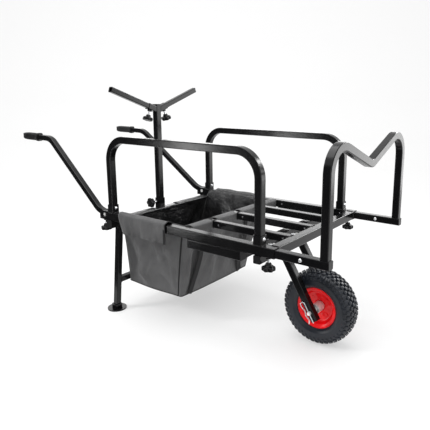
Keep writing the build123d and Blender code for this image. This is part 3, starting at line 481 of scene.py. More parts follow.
crown = tyre_radius - lug_height
outer_half = [
    (0.0220, 0.0635),
    (0.0250, 0.0700),
    (0.0320, 0.0735),
    (0.0385, 0.0825),
    (0.0412, 0.0940),
    (0.0405, 0.1050),
    (0.0365, 0.1150),
    (0.0280, 0.1215),
    (0.0140, crown - 0.0006),
    (0.0, crown),
]
ring_marks = (0.0775, 0.0870, 0.1010)
ring_rise, ring_width = 0.0008, 0.0009
ringed = []
for across, out in smooth_line(outer_half, 5):
    lift = sum(ring_rise * math.exp(-(((out - mark) / ring_width) ** 2)) for mark in ring_marks)
    ringed.append((across + lift, out))
inner_half = [
    (0.0, 0.1176),
    (0.0180, 0.1155),
    (0.0330, 0.1040),
    (0.0355, 0.0930),
    (0.0300, 0.0800),
    (0.0170, 0.0635),
]
inside = smooth_line(inner_half, 3)
profile = (
    ringed
    + [(-a, r) for a, r in reversed(ringed[:-1])]
    + [(-a, r) for a, r in reversed(inside)]
    + [(a, r) for a, r in inside[1:]]
)
carcass = turned("tyre_carcass", profile, axle_place, 168)
carcass.data.materials.append(rubber)
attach(carcass, "wheel")


def lug_tree():
    """Geometry nodes: a ring of rounded blocks about the Y axis, tilted over the tyre's shoulder."""
    tree = bpy.data.node_groups.new("lug_ring", "GeometryNodeTree")
    face = tree.interface
    face.new_socket("Geometry", in_out="INPUT", socket_type="NodeSocketGeometry")
    for name in ("Radius", "Across", "Tilt", "Skew", "Phase"):
        face.new_socket(name, in_out="INPUT", socket_type="NodeSocketFloat")
    face.new_socket("Count", in_out="INPUT", socket_type="NodeSocketInt")
    face.new_socket("Size", in_out="INPUT", socket_type="NodeSocketVector")
    face.new_socket("Material", in_out="INPUT", socket_type="NodeSocketMaterial")
    face.new_socket("Geometry", in_out="OUTPUT", socket_type="NodeSocketGeometry")
    g = Graph(tree)
    way_in = tree.nodes.new("NodeGroupInput")
    _, radius, across, tilt, skew, phase, count, size, material = (Field(g, s) for s in way_in.outputs[:9])
    block = g.node("GeometryNodeMeshCube", None, {"Size": size})
    rounded = g.node(
        "GeometryNodeSubdivisionSurface", None, {"Mesh": block, "Level": 2, "Edge Crease": 0.72}
    )
    lean = g.node("ShaderNodeCombineXYZ", None, {"X": tilt, "Z": skew})
    place = g.node("ShaderNodeCombineXYZ", None, {"Y": across, "Z": radius})
    leaning = g.node(
        "GeometryNodeTransform", None, {"Geometry": rounded, "Translation": place, "Rotation": lean}
    )
    points = g.node("GeometryNodePoints", None, {"Count": count})
    index = g.node("GeometryNodeInputIndex")
    angle = (index + phase) * (2 * math.pi) / count
    turn = g.node("ShaderNodeCombineXYZ", None, {"Y": angle})
    ring = g.node(
        "GeometryNodeInstanceOnPoints", None, {"Points": points, "Instance": leaning, "Rotation": turn}
    )
    solid = g.node("GeometryNodeRealizeInstances", None, {0: ring})
    smooth = g.node("GeometryNodeSetShadeSmooth", None, {0: solid})
    done = g.node("GeometryNodeSetMaterial", None, {"Geometry": smooth, "Material": material})
    g.node("NodeGroupOutput", None, {0: done})
    return tree


lug_rings = lug_tree()
# each row: name, place out and across, tilt, turn on the left and on the right, place round, size
lug_rows = (
    ("centre", 0.1268, 0.0068, 0.02, (0.35, 0.35), 0.0, (0.0115, 0.0105, 0.0070)),
    ("middle", 0.1246, 0.0205, -0.28, (-0.25, 0.25), 0.5, (0.0105, 0.0105, 0.0075)),
    ("shoulder", 0.1186, 0.0330, -0.72, (0.0, 0.0), 0.0, (0.0108, 0.0130, 0.0075)),
    ("side", 0.1090, 0.0390, -1.25, (0.0, 0.0), 0.5, (0.0090, 0.0105, 0.0042)),
)
tread_parts = []
for row, radius, across, tilt, turns, phase, size in lug_rows:
    for side, skew, start in ((1, turns[0], phase), (-1, turns[1], (phase + 0.5) % 1.0)):
        ring = new_mesh("lugs_" + row, [(0, 0, 0)])
        modifier = ring.modifiers.new("lugs", "NODES")
        modifier.node_group = lug_rings
        set_inputs(modifier, Radius=radius, Across=side * across, Tilt=side * tilt, Skew=skew)
        set_inputs(modifier, Phase=start, Count=lugs_around, Size=size, Material=rubber)
        baked(ring)
        ring.data.transform(Matrix.Translation(axle_place))
        tread_parts.append(ring)


def joined(name, pieces):
    """One piece from several, with its materials kept."""
    with bpy.context.temp_override(active_object=pieces[0], selected_editable_objects=pieces):
        bpy.ops.object.join()
    pieces[0].name = name
    pieces[0].data.name = name
    return pieces[0]


tread = joined("tyre_tread", tread_parts)
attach(tread, "wheel")
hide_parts("tyre")
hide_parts("tyre")


# ---------------------------------------------------------------------------------------------
# Rim. Two dishes pressed from sheet steel, bolted back to back and sprayed in gloss red. Each
# has a rolled flange, a deep well and a web that is pressed into four shallow bosses.
def red_spray():
    """Gloss red stove enamel, a little cloudy."""
    material, g = new_finish("red_spray")
    place = object_place(g)
    peel = g.noise(place, 300.0, 2.0)
    cloud = g.noise(place, 30.0, 4.0)
    close_finish(
        g,
        Base_Color=g.ramp(cloud, (0.25, (0.74, 0.0040, 0.0075)), (0.75, (0.90, 0.0070, 0.0110))),
        Roughness=g.between(cloud, 0.16, 0.26),
        Normal=g.bump(peel, 0.00008),
        Specular_IOR_Level=0.35,
    )
    return material


red = red_spray()
wear(("rim_bolts",), red)


boss_inner, boss_outer = 0.022, 0.054
boss_rise = 0.0042
boss_turn = 0.4
web_reach = 0.012


def web_bosses(angle, across, out):
    """How far the pressed bosses stand out across the wheel."""
    if not boss_inner < out < boss_outer or abs(across) > web_reach:
        return 0.0
    ring = math.sin(math.pi * (out - boss_inner) / (boss_outer - boss_inner))
    return boss_rise * ring ** 2 * (0.5 + 0.5 * math.cos(4 * angle)) ** 2


rim_outline = [
    (0.0004, 0.0172),
    (0.0024, 0.0172),
    (0.0024, 0.0230),
    (0.0030, 0.0300),
    (0.0032, 0.0380),
    (0.0036, 0.0440),
    (0.0060, 0.0500),
    (0.0100, 0.0548),
    (0.0160, 0.0570),
    (0.0235, 0.0578),
    (0.0262, 0.0610),
    (0.0268, 0.0660),
    (0.0282, 0.0692),
    (0.0298, 0.0698),
    (0.0296, 0.0716),
    (0.0272, 0.0714),
    (0.0252, 0.0690),
    (0.0245, 0.0640),
    (0.0225, 0.0602),
    (0.0150, 0.0592),
    (0.0085, 0.0572),
    (0.0035, 0.0520),
    (0.0012, 0.0450),
    (0.0006, 0.0380),
    (0.0004, 0.0300),
    (0.0004, 0.0230),
]
for side, name in ((1, "left"), (-1, "right")):
    outline = [(side * a, r) for a, r in rim_outline]
    pressed = turned(
        name + "_rim", outline, axle_place, 120, lambda t, a, r, s=side: s * web_bosses(t + boss_turn, a, r)
    )
    pressed.data.materials.append(red)
    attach(pressed, "wheel")
    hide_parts(name + "_rim_half")


# ---------------------------------------------------------------------------------------------
# Knobs. Six-lobed hand knobs, moulded in black plastic on a chromium plated stud. Each screws
# into a nut that is welded on the tube it clamps.
knob_radius = 0.0210
knob_lobes = 6
knob_depth = 0.0240
knob_plastic = moulded_plastic("knob_plastic", (0.0045, 0.0045, 0.0048), 520.0, 0.26)


def knob_outline(angle, radius, depth):
    """The lobed outline: round at the hub and lobed at the rim."""
    lobe = 0.5 + 0.5 * math.cos(knob_lobes * angle)
    return radius * (1 - depth * (1 - lobe ** 0.6))


def capped_faces(rings, steps):
    """Faces of a round body whose points are a tip, rings of steps points each, and a tip."""
    last = 1 + rings * steps
    faces = []
    for i in range(steps):
        j = (i + 1) % steps
        faces.append((0, 1 + j, 1 + i))
        faces.append((last - steps + i, last - steps + j, last))
        for ring in range(rings - 1):
            a = 1 + ring * steps
            faces.append((a + i, a + j, a + steps + j, a + steps + i))
    return faces


def knob_body(name):
    """A knob about the Z axis: its rings are radius, height and how deep the lobes are cut."""
    rings = [
        (0.0120, -0.0222, 0.05),
        (0.0165, -0.0232, 0.12),
        (0.0192, -0.0236, 0.20),
        (0.0206, -0.0222, 0.23),
        (knob_radius, -0.0200, 0.24),
        (knob_radius, -0.0150, 0.24),
        (0.0205, -0.0124, 0.23),
        (0.0190, -0.0110, 0.18),
        (0.0150, -0.0100, 0.05),
        (0.0112, -0.0088, 0.0),
        (0.0098, -0.0060, 0.0),
        (0.0088, -0.0020, 0.0),
        (0.0080, -0.0004, 0.0),
        (0.0070, 0.0, 0.0),
    ]
    steps = 96
    points = [(0.0, 0.0, -0.0222)]
    for radius, height, depth in rings:
        for i in range(steps):
            angle = 2 * math.pi * i / steps
            reach = knob_outline(angle, radius, depth)
            points.append((reach * math.cos(angle), reach * math.sin(angle), height))
    points.append((0.0, 0.0, 0.0))
    return outward(new_mesh(name, points, capped_faces(len(rings), steps)))


def stud_body(name, length):
    """A threaded stud on the Z axis from -1 mm to its length, with a turned point."""
    pitch = 0.00125
    steps = 20
    crest, root, start, point = 0.0039, 0.0034, -0.001, 0.0012
    points = [(0.0, 0.0, start)]
    heights = [start]
    while heights[-1] + pitch / 2 < length - point:
        heights.append(heights[-1] + pitch / 2)
    rings = [(crest if i % 2 else root, z) for i, z in enumerate(heights)]
    rings += [(0.0030, length - 0.0004), (0.0024, length)]
    for radius, z in rings:
        for i in range(steps):
            angle = 2 * math.pi * i / steps
            points.append((radius * math.cos(angle), radius * math.sin(angle), z))
    points.append((0.0, 0.0, length))
    return outward(new_mesh(name, points, capped_faces(len(rings), steps)))


joints = {joint["name"]: joint for joint in frame["joints"]}
for name in sorted(name for name in nodes if name.endswith("_knob")):
    joint = joints[name + "_turn"]
    centre = Vector(joint["pos_m"])
    way = Vector(joint["axis"]).normalized()
    if "rest" in name:
        way = -way
    reach = [(v.co - centre).dot(way) for v in nodes[name].data.vertices]
    face = min(reach) + knob_depth
    stud_length = max(reach) - face
    sideways = Y if abs(way.y) < 0.8 else X
    across = (sideways - way * sideways.dot(way)).normalized()
    turn = Matrix((across, way.cross(across), way)).transposed().to_4x4()
    place = Matrix.Translation(centre + way * face) @ turn
    body = knob_body(name + "_grip")
    stud = stud_body(name + "_stud", stud_length)
    for piece, material, slot in ((body, knob_plastic, "knob_plastic"), (stud, chrome, "chrome")):
        piece.data.transform(place)
        piece.data.materials.append(material)
        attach(piece, name)
        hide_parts(name)


# ---------------------------------------------------------------------------------------------
# Hand grips. Moulded rubber sleeves pushed over the handles' ends: a closed rounded end, a body
# that swells in the palm with fine ribs across it, and a stepped collar at the inner end.
def grip_rubber():
    """Matt black rubber with a moulded grain."""
    material, g = new_finish("grip_rubber")
    place = object_place(g)
    grain = g.noise(place, 600.0, 3.0)
    cloud = g.noise(place, 22.0, 3.0)
    close_finish(
        g,
        Base_Color=g.ramp(cloud, (0.3, (0.0080, 0.0080, 0.0085)), (0.75, (0.0170, 0.0170, 0.0175))),
        Roughness=g.between(cloud, 0.48, 0.62),
        Normal=g.bump(grain, 0.00020),
        Specular_IOR_Level=0.28,
    )
    return material


sleeve_rubber = grip_rubber()


def grip_sleeve(name, node):
    """A sleeve along the handle's end run, rounded square in section."""
    corners = [v.co for v in nodes[node].data.vertices]
    end = min(p.x for p in corners)
    inner = max(p.x for p in corners)
    tip = [p for p in corners if p.x < end + 0.004]
    root = [p for p in corners if p.x > inner - 0.004]
    start = sum(tip, Vector()) / len(tip)
    finish = sum(root, Vector()) / len(root)
    way = (finish - start).normalized()
    length = (finish - start).length + 0.001
    up = (Z - way * Z.dot(way)).normalized()
    side = up.cross(way)
    rings = [(0.0, 0.20), (0.0012, 0.55), (0.0040, 0.82), (0.0080, 0.95), (0.0130, 1.0)]
    ribs = 15
    for i in range(ribs * 4 + 1):
        t = i / (ribs * 4)
        swell = 1.0 + 0.035 * math.sin(math.pi * t)
        rib = 0.035 if i % 4 in (1, 2) and 2 < i < ribs * 4 - 2 else 0.0
        rings.append((0.0160 + t * (length - 0.0340), swell + rib))
    rings += [
        (length - 0.0165, 0.98),
        (length - 0.0145, 1.13),
        (length - 0.0100, 1.15),
        (length - 0.0088, 1.02),
        (length - 0.0078, 1.02),
        (length - 0.0066, 1.20),
        (length - 0.0010, 1.20),
        (length, 1.12),
        (length, 0.80),
    ]
    half = 0.0143
    squareness = 3.4
    steps = 40
    points = [start]
    for along, scale in rings:
        for i in range(steps):
            angle = 2 * math.pi * i / steps
            c, s = math.cos(angle), math.sin(angle)
            reach = half * scale / (abs(c) ** squareness + abs(s) ** squareness) ** (1 / squareness)
            points.append(start + way * along + side * (reach * c) + up * (reach * s))
    points.append(start + way * length)
    piece = outward(new_mesh(name, points, capped_faces(len(rings), steps)))
    piece.data.materials.append(sleeve_rubber)
    return piece


for name in ("left", "right"):
    sleeve = grip_sleeve(name + "_hand_grip", name + "_grip")
    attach(sleeve, name + "_handle")
    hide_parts(name + "_grip")


# ---------------------------------------------------------------------------------------------
# Basket. A sewn bag of dark grey polyester with a shiny black coating inside, hung between the
# rails. Its walls sag between the tubes and crease from the corners, its floor hangs slack, and
# its flaps wrap over the rails and cross tubes, held by a hem.
bag_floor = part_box("bag")[0].z
rail_top = rail_high.z
rear_tube_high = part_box("rear_cross_tube")[1]
cross_low, cross_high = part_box("middle_cross_tube")
wall_half = rail_low.y - 0.0003
rear_top = rear_tube_high.x + 0.0090
front_top = cross_low.x - 0.0012
floor_rear, floor_front, floor_half = -0.1610, 0.1200, 0.2010
cloth = 0.0014
thread_pitch = 0.0011
rim_clearance = 0.0012


def cloth_finish(name, dark, light, rough, weave_depth, sheen, crease_depth, specular):
    """Plain woven cloth, its threads laid by the cloth map, with soft creases over them and painted shade
    that darkens the creases' hollows.
    """
    material, g = new_finish(name)
    flat = g.node("ShaderNodeUVMap", {"uv_map": "cloth"})
    parts = g.node("ShaderNodeSeparateXYZ", None, {0: flat})
    u = Field(g, parts.socket.node.outputs[0])
    v = Field(g, parts.socket.node.outputs[1])
    threads = 2 * math.pi / thread_pitch
    over = (u * threads).sine()
    under = (v * threads).sine()
    weave = over * under
    ribs = over.size() + under.size()
    place = object_place(g)
    crease = g.noise(place, 26.0, 5.0, 0.62)
    cloud = g.noise(place, 7.0, 4.0)
    # Colour: random tone and the weave's pattern, plus painted shade from the crease noise, darker in its
    # hollows and lighter on its ridges, where the crease bump rises.
    tone_and_crease_shade = cloud * 0.60 + weave * 0.08 + crease * 0.35
    relief = g.bump(crease, crease_depth)
    close_finish(
        g,
        Base_Color=g.ramp(tone_and_crease_shade, (0.22, dark), (0.66, light)),
        Roughness=g.between(cloud, rough - 0.08, rough + 0.10),
        Normal=g.bump(weave * 0.6 + ribs * 0.4, weave_depth, relief),
        Sheen_Weight=sheen,
        Sheen_Roughness=0.45,
        Specular_IOR_Level=specular,
    )
    return material


outer_cloth = cloth_finish(
    "grey_polyester",
    dark=(0.042, 0.042, 0.043),
    light=(0.098, 0.098, 0.100),
    rough=0.52,
    weave_depth=0.00022,
    sheen=0.10,
    crease_depth=0.0026,
    specular=0.45,
)
inner_cloth = cloth_finish(
    "coated_lining",
    dark=(0.0050, 0.0050, 0.0055),
    light=(0.0200, 0.0200, 0.0210),
    rough=0.22,
    weave_depth=0.00010,
    sheen=0.0,
    crease_depth=0.0120,
    specular=0.80,
)


def smooth_step(low, high, value):
    """Goes smoothly from 0 to 1 as the value goes from low to high."""
    t = min(1.0, max(0.0, (value - low) / (high - low)))
    return t * t * (3 - 2 * t)


def ring_point(turn, rear, front, half, corner):
    """A point on a rounded rectangle, by its share of the way round from the rear right corner."""
    length, width = front - rear, 2 * half
    around = 2 * (length + width)
    way = (turn % 1.0) * around
    if way < length:
        x, y, nx, ny = rear + way, -half, 0, -1
    elif way < length + width:
        x, y, nx, ny = front, -half + (way - length), 1, 0
    elif way < 2 * length + width:
        x, y, nx, ny = front - (way - length - width), half, 0, 1
    else:
        x, y, nx, ny = rear, half - (way - 2 * length - width), -1, 0
    cx = min(front - corner, max(rear + corner, x))
    cy = min(half - corner, max(-half + corner, y))
    dx, dy = x - cx, y - cy
    far = math.hypot(dx, dy)
    if far > corner > 0:
        x, y = cx + dx * corner / far, cy + dy * corner / far
    return Vector((x, y, 0)), Vector((nx, ny, 0))


bag_around = 2 * (front_top - rear_top + 2 * wall_half)
bag_deep = 0.3000
length_share = (front_top - rear_top) / bag_around
width_share = 0.5 - length_share
corner_turns = (0.0, length_share, 0.5, 0.5 + length_share)


def corner_nearness(turn, width):
    """1 at each corner of the basket, falling to 0 away from it."""
    gap = min(abs((turn - c + 0.5) % 1.0 - 0.5) for c in corner_turns)
    return math.exp(-((gap / width) ** 2))


# each crease: from and to, as metres round from the rear right corner and metres down; width; height
creases = (
    (0.278, 0.085, 0.139, 0.250, 0.017, 0.0060),
    (0.098, 0.080, 0.215, 0.175, 0.020, -0.0065),
    (0.120, 0.030, 0.095, 0.160, 0.022, 0.0050),
    (0.070, 0.240, 0.140, 0.275, 0.014, 0.0060),
    (0.195, 0.060, 0.260, 0.200, 0.013, -0.0045),
    (0.292, 0.205, 0.330, 0.290, 0.012, 0.0050),
    (0.025, 0.090, 0.050, 0.230, 0.014, -0.0050),
    (0.215, 0.235, 0.300, 0.285, 0.013, -0.0040),
    (0.372, 0.060, 0.395, 0.240, 0.013, 0.0060),
    (0.440, 0.080, 0.400, 0.270, 0.015, -0.0055),
    (0.520, 0.070, 0.560, 0.250, 0.020, 0.0055),
    (0.640, 0.060, 0.600, 0.240, 0.022, -0.0060),
    (0.700, 0.070, 0.780, 0.230, 0.018, 0.0060),
    (0.820, 0.080, 0.790, 0.270, 0.014, -0.0050),
    (0.910, 0.060, 1.000, 0.210, 0.018, 0.0065),
    (1.080, 0.050, 0.990, 0.240, 0.020, -0.0060),
    (1.130, 0.110, 1.160, 0.270, 0.016, 0.0055),
    (1.250, 0.060, 1.330, 0.230, 0.020, 0.0065),
    (1.400, 0.050, 1.350, 0.250, 0.018, -0.0060),
    (1.470, 0.090, 1.560, 0.220, 0.017, 0.0060),
    (1.620, 0.060, 1.580, 0.240, 0.016, -0.0060),
)


def fold_height(along, down):
    """The sum of the creases at a place on the walls; each is sharp on top and fades at its ends."""
    height = 0.0
    for x0, y0, x1, y1, width, rise in creases:
        dx, dy = x1 - x0, y1 - y0
        t = ((along - x0) * dx + (down - y0) * dy) / (dx * dx + dy * dy)
        if not -0.3 < t < 1.3:
            continue
        bend = 0.004 * math.sin(5 * t + 40 * x0)
        gap = ((along - x0) * dy - (down - y0) * dx) / math.hypot(dx, dy) + bend
        near = math.exp(-abs(gap / (1.35 * width)) ** 1.7)
        height += rise * near * smooth_step(-0.3, 0.25, t) * (1 - smooth_step(0.75, 1.3, t))
    return height


def wall_crease(turn, drop):
    """How far the walls lie in or out: they fall in between the corners and fold on the slant."""
    hold = corner_nearness(turn, 0.022)
    slack = math.sin(math.pi * min(1.0, drop)) ** 0.8
    falls = -0.0060 * slack * (1 - corner_nearness(turn, 0.06))
    angle = turn * 2 * math.pi
    broad = 0.0026 * math.sin(7 * angle + 5 * drop + 0.6) + 0.0016 * math.sin(13 * angle - 8 * drop + 2.1)
    fine = 0.0006 * math.sin(41 * angle + 21.0 * drop + 0.9)
    tucks = 0.0011 * math.exp(-drop * 7.0) * (math.sin(37 * angle + 0.7) + math.sin(23 * angle + 9 * drop))
    folds = fold_height((turn % 1.0) * bag_around, drop * bag_deep)
    return falls + ((broad + fine) * slack + 2.0 * folds * slack ** 0.5 + tucks) * (1 - 0.8 * hold)


def wall_spot(turn, drop):
    """A point on the walls before they crease, with the wall's outward direction."""
    narrow = drop ** 0.62
    corner = 0.004 + 0.004 * drop
    top, normal = ring_point(turn, rear_top, front_top, wall_half, corner)
    low, _ = ring_point(turn, floor_rear, floor_front, floor_half, corner)
    spot = top.lerp(low, narrow)
    height = rim_height(turn)
    belly = 0.004 * (1 - corner_nearness(turn, 0.06)) * smooth_step(0.7, 1.0, drop)
    spot.z = max(bag_floor + 0.0008, height + (bag_floor + 0.0045 - belly - height) * drop)
    return spot, normal


def rim_height(turn):
    """The top edge: at the rails' top along three sides and lower along the rear cross tube."""
    rear = 0.5 + length_share + width_share / 2
    gap = abs((turn - rear + 0.5) % 1.0 - 0.5)
    low = rear_tube_high.z + rim_clearance
    high = rail_top + rim_clearance
    return low + (high - low) * smooth_step(width_share / 2 - 0.012, width_share / 2 + 0.004, gap)


bag_around_steps = 320


def bag_shell():
    """The basket's walls and floor as one sheet, from the rim down and in to the floor's middle."""
    around, down, floor_rings = bag_around_steps, 64, 18
    hang = bag_floor + 0.0030
    points, uvs = [], []
    for row in range(down + 1):
        drop = row / down
        for i in range(around):
            turn = i / around
            spot, normal = wall_spot(turn, drop)
            points.append(spot + normal * wall_crease(turn, drop))
            uvs.append((turn * 1.9, drop * 0.30))
    centre = Vector(((floor_rear + floor_front) / 2, 0, 0))
    base = points[-around:]
    for ring in range(1, floor_rings):
        share = 1 - ring / floor_rings
        for i in range(around):
            spot = centre.lerp(base[i], share)
            wave = 0.0022 * math.sin(31 * spot.x + 17 * spot.y) + 0.0016 * math.sin(67 * spot.y - 23 * spot.x)
            edge = base[i].z
            height = edge + (hang - edge) * smooth_step(0, 0.35, 1 - share) + wave * (1 - share)
            spot.z = max(bag_floor + 0.0005, height)
            points.append(spot)
            uvs.append((spot.x, spot.y))
    points.append(Vector((centre.x, centre.y, hang)))
    uvs.append((centre.x, centre.y))
    faces = []
    for row in range(down + floor_rings - 1):
        for i in range(around):
            j = (i + 1) % around
            a, b = row * around, (row + 1) * around
            faces.append((a + i, b + i, b + j, a + j))
    last = len(points) - 1
    a = (down + floor_rings - 1) * around
    faces += [(a + i, last, a + (i + 1) % around) for i in range(around)]
    return cloth_piece("bag_shell", points, faces, uvs)


def cloth_piece(name, points, faces, uvs):
    """A sheet of cloth with its map, whose places are in metres along and across the threads."""
    piece = new_mesh(name, points, faces)
    layer = piece.data.uv_layers.new(name="cloth")
    for loop in piece.data.loops:
        layer.data[loop.index].uv = uvs[loop.vertex_index]
    for face in piece.data.polygons:
        face.use_smooth = True
    return piece


def flap(name, line, profile, wave, seed, slant=0.0):
    """A flap along a line (start, finish, way out); its profile's points are (out, up) from the line."""
    start, finish, out = (Vector(p) for p in line)
    length = (finish - start).length
    steps = max(12, int(length / 0.004))
    run = [0.0]
    for a, b in zip(profile, profile[1:]):
        run.append(run[-1] + math.hypot(b[0] - a[0], b[1] - a[1]))
    points, uvs = [], []
    for i in range(steps + 1):
        t = i / steps
        base = start.lerp(finish, t)
        for k, (reach, rise) in enumerate(profile):
            share = run[k] / run[-1]
            loose = smooth_step(0.25, 1.0, share)
            ripple = wave * (
                0.55 * math.sin(t * length * 48 + seed)
                + 0.30 * math.sin(t * length * 113 + 2.3 * seed + 5 * share)
                + 0.15 * math.sin(t * length * 211 - seed)
            )
            puff = wave * 0.8 * math.sin(math.pi * share) * (1 + math.sin(t * length * 61 + seed * 1.7)) / 2
            cut = (finish - start).normalized() * (slant * share ** 2 * (1 - t) ** 3)
            height = rise + 0.6 * puff * (1 - loose)
            points.append(base + cut + out * (reach + ripple * loose + puff) + Z * height)
            uvs.append((t * length, run[k]))
    count = len(profile)
    faces = []
    for i in range(steps):
        for k in range(count - 1):
            a = i * count + k
            faces.append((a, a + 1, a + count + 1, a + count))
    return cloth_piece(name, points, faces, uvs)


def wrap_profile(width, over, drop, corner, back=0.010):
    """The flap's section: up from the inside, over a tube of this width and down its outside."""
    profile = [(0.0, -back), (0.0, 0.0)]
    for i in range(1, 6):
        angle = math.pi / 2 * i / 5
        profile.append((corner * (1 - math.cos(angle)), corner * math.sin(angle)))
    flat = width - 2 * corner
    for i in range(1, 6):
        profile.append((corner + flat * i / 5, corner + over * math.sin(math.pi * i / 5)))
    for i in range(1, 6):
        angle = math.pi / 2 * i / 5
        profile.append((width - corner + corner * math.sin(angle), corner * math.cos(angle)))
    rows = max(3, int(drop / 0.005))
    for i in range(1, rows + 1):
        profile.append((width, -drop * i / rows))
    return profile


shell = bag_shell()
flaps = []
side_rear, side_front = -0.0960, 0.1440
side_y = rail_low.y - 0.0010
hem_z = 0.3400
top_z = rail_top - 0.0032
side_profile = wrap_profile(0.0350, 0.0035, top_z - hem_z, 0.0080)
for side in (-1, 1):
    line = ((side_rear, side * side_y, top_z), (side_front, side * side_y, top_z), (0, side, 0))
    flaps.append(flap("side_flap", line, side_profile, 0.0045, 1.3 + side, 0.0240))
rear_x = rear_tube_high.x + 0.0012
rear_z = rear_tube_high.z - 0.0034
rear_profile = wrap_profile(0.0330, 0.0020, 0.0190, 0.0050)
for low_y, high_y in ((-0.2540, -0.0640), (0.0640, 0.2540)):
    line = ((rear_x, low_y, rear_z), (rear_x, high_y, rear_z), (-1, 0, 0))
    flaps.append(flap("rear_flap", line, rear_profile, 0.0016, high_y * 9))
front_x = cross_low.x - 0.0008
front_z = cross_high.z - 0.0034
front_profile = wrap_profile(0.0322, 0.0020, 0.0250, 0.0050)
for low_y, high_y in ((-0.2540, -0.1560), (-0.1240, -0.0160), (0.0160, 0.1240), (0.1560, 0.2540)):
    line = ((front_x, low_y, front_z), (front_x, high_y, front_z), (1, 0, 0))
    flaps.append(flap("front_flap", line, front_profile, 0.0014, low_y * 7))
bag_piece = joined("basket", [shell, *flaps])
bag_piece.data.materials.append(outer_cloth)
bag_piece.data.materials.append(inner_cloth)
thick = bag_piece.modifiers.new("cloth", "SOLIDIFY")
thick.thickness = cloth
thick.offset = 0.0
thick.use_even_offset = False
thick.material_offset = 1
thick.material_offset_rim = 0
baked(bag_piece)
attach(bag_piece, "frame")
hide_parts("bag")


# ---------------------------------------------------------------------------------------------
# Seam tapes and hem stitches. Black woven tape covers the two front corner seams, and two rows
# of lockstitches run along each side flap's hem, through both layers.
def tape_finish():
    """Black woven tape, matt, with slanting ribs."""
    material, g = new_finish("black_webbing")
    place = object_place(g)
    grain = g.noise(place, 240.0, 3.0)
    bands = {"wave_type": "BANDS", "bands_direction": "DIAGONAL"}
    ribs = g.node("ShaderNodeTexWave", bands, {"Vector": place, "Scale": 190.0}, 1)
    close_finish(
        g,
        Base_Color=g.ramp(grain, (0.3, (0.0070, 0.0070, 0.0075)), (0.75, (0.0190, 0.0190, 0.0200))),
        Roughness=g.between(grain, 0.60, 0.80),
        Normal=g.bump(ribs, 0.00025),
        Sheen_Weight=0.05,
        Sheen_Roughness=0.5,
        Specular_IOR_Level=0.2,
    )
    return material


tape = tape_finish()
stitch_pitch = 0.0042
stitch_size = (0.0007, 0.0007, 0.0030)
tape_lift = 0.0012


def ribbon(name, line, normals, width, thickness):
    """A flat tape on the frame, along a line of points, on the surface that the normals leave."""
    points = []
    for i, spot in enumerate(line):
        ahead = (line[min(i + 1, len(line) - 1)] - line[max(i - 1, 0)]).normalized()
        lift = normals[i] - ahead * normals[i].dot(ahead)
        lift.normalize()
        across = ahead.cross(lift)
        for a, b in ((-1, 0), (-0.9, 1), (0.9, 1), (1, 0), (0.9, -1), (-0.9, -1)):
            points.append(spot + across * (a * width / 2) + lift * (b * thickness / 2))
    faces = []
    for i in range(len(line) - 1):
        for k in range(6):
            n = (k + 1) % 6
            faces.append((i * 6 + k, i * 6 + n, (i + 1) * 6 + n, (i + 1) * 6 + k))
    faces.append(tuple(range(6)))
    faces.append(tuple(len(points) - 6 + k for k in range(6)))
    piece = outward(new_mesh(name, points, faces), smooth=False)
    piece.data.materials.append(tape)
    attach(piece, "frame")
    return piece


def shell_point(turn, drop):
    """A point on the basket's creased wall, with the wall's outward direction."""
    spot, normal = wall_spot(turn, drop)
    return spot + normal * wall_crease(turn, drop), normal


def stitching(name, rows):
    """Rows of stitches along lines of points."""
    stitches = bead_row(name, rows, stitch_pitch, stitch_size, tape, "frame")


for name, turn, side in (("corner_tape_r", length_share, -1), ("corner_tape_l", 0.5, 1)):
    lean = Vector((0.7, 0.7 * side, 0))
    line = [shell_point(turn, 0.10 + 0.89 * i / 39)[0] + lean * tape_lift for i in range(40)]
    ribbon(name, line, [lean] * 40, 0.0060, 0.0016)

hem_y = side_y + 0.0372
hem_rows = []
for side in (-1, 1):
    for inset in (0.004, 0.009):
        row = [Vector((side_rear + 0.004 + i * 0.006, side * hem_y, hem_z + inset)) for i in range(39)]
        hem_rows.append(row)
stitching("hem_stitches", hem_rows)


# ---------------------------------------------------------------------------------------------
# Straps. Two black webbing straps steady the basket: each is looped up under the middle cross
# tube, runs down the front wall and is sewn into the floor's front edge.
strap_top_y = 0.1420
strap_foot_y = 0.1920
strap_width = 0.0280
strap_edge = 0.0095


def front_turn(y):
    """The place round the basket of a point on its front wall."""
    return length_share + (y + wall_half) / bag_around


for side, name in ((1, "left"), (-1, "right")):
    line = []
    for i in range(45):
        t = i / 44
        y = side * (strap_top_y + (strap_foot_y - strap_top_y) * t ** 3.4)
        spot, normal = shell_point(front_turn(y), 0.10 + 0.895 * t)
        slack = 0.0045 + 0.0075 * math.sin(math.pi * t) ** 2
        line.append(spot + normal * slack)
    strap = ribbon(name + "_strap", line, [Vector((0.95, 0.0, -0.30))] * 45, strap_width, 0.0018)
    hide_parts("bag_straps")
    stitching(
        name + "_strap_stitches",
        [[spot + Vector((0.0012, edge, 0.0)) for spot in line[1:-1]] for edge in (-strap_edge, strap_edge)],
    )


# ---------------------------------------------------------------------------------------------
# Piping. A cord in a folded black tape runs round the basket's bottom edge, sewn into the seam
# between the walls and the floor.
cord_radius = 0.0017
cord_sides = 8
piping_line = []
for i in range(bag_around_steps):
    spot, normal = shell_point(i / bag_around_steps, 1.0)
    piping_line.append(spot + normal * 0.0008)
points = []
for i, spot in enumerate(piping_line):
    ahead = (piping_line[(i + 1) % bag_around_steps] - piping_line[i - 1]).normalized()
    over = ahead.cross(Z).normalized()
    for k in range(cord_sides):
        angle = 2 * math.pi * k / cord_sides
        rise = cord_radius * math.sin(angle) + 0.0012
        points.append(spot + over * (cord_radius * math.cos(angle)) + Z * rise)
piping = outward(new_mesh("bottom_piping", points, hoop_faces(bag_around_steps, cord_sides)))
piping.data.materials.append(tape)
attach(piping, "frame")


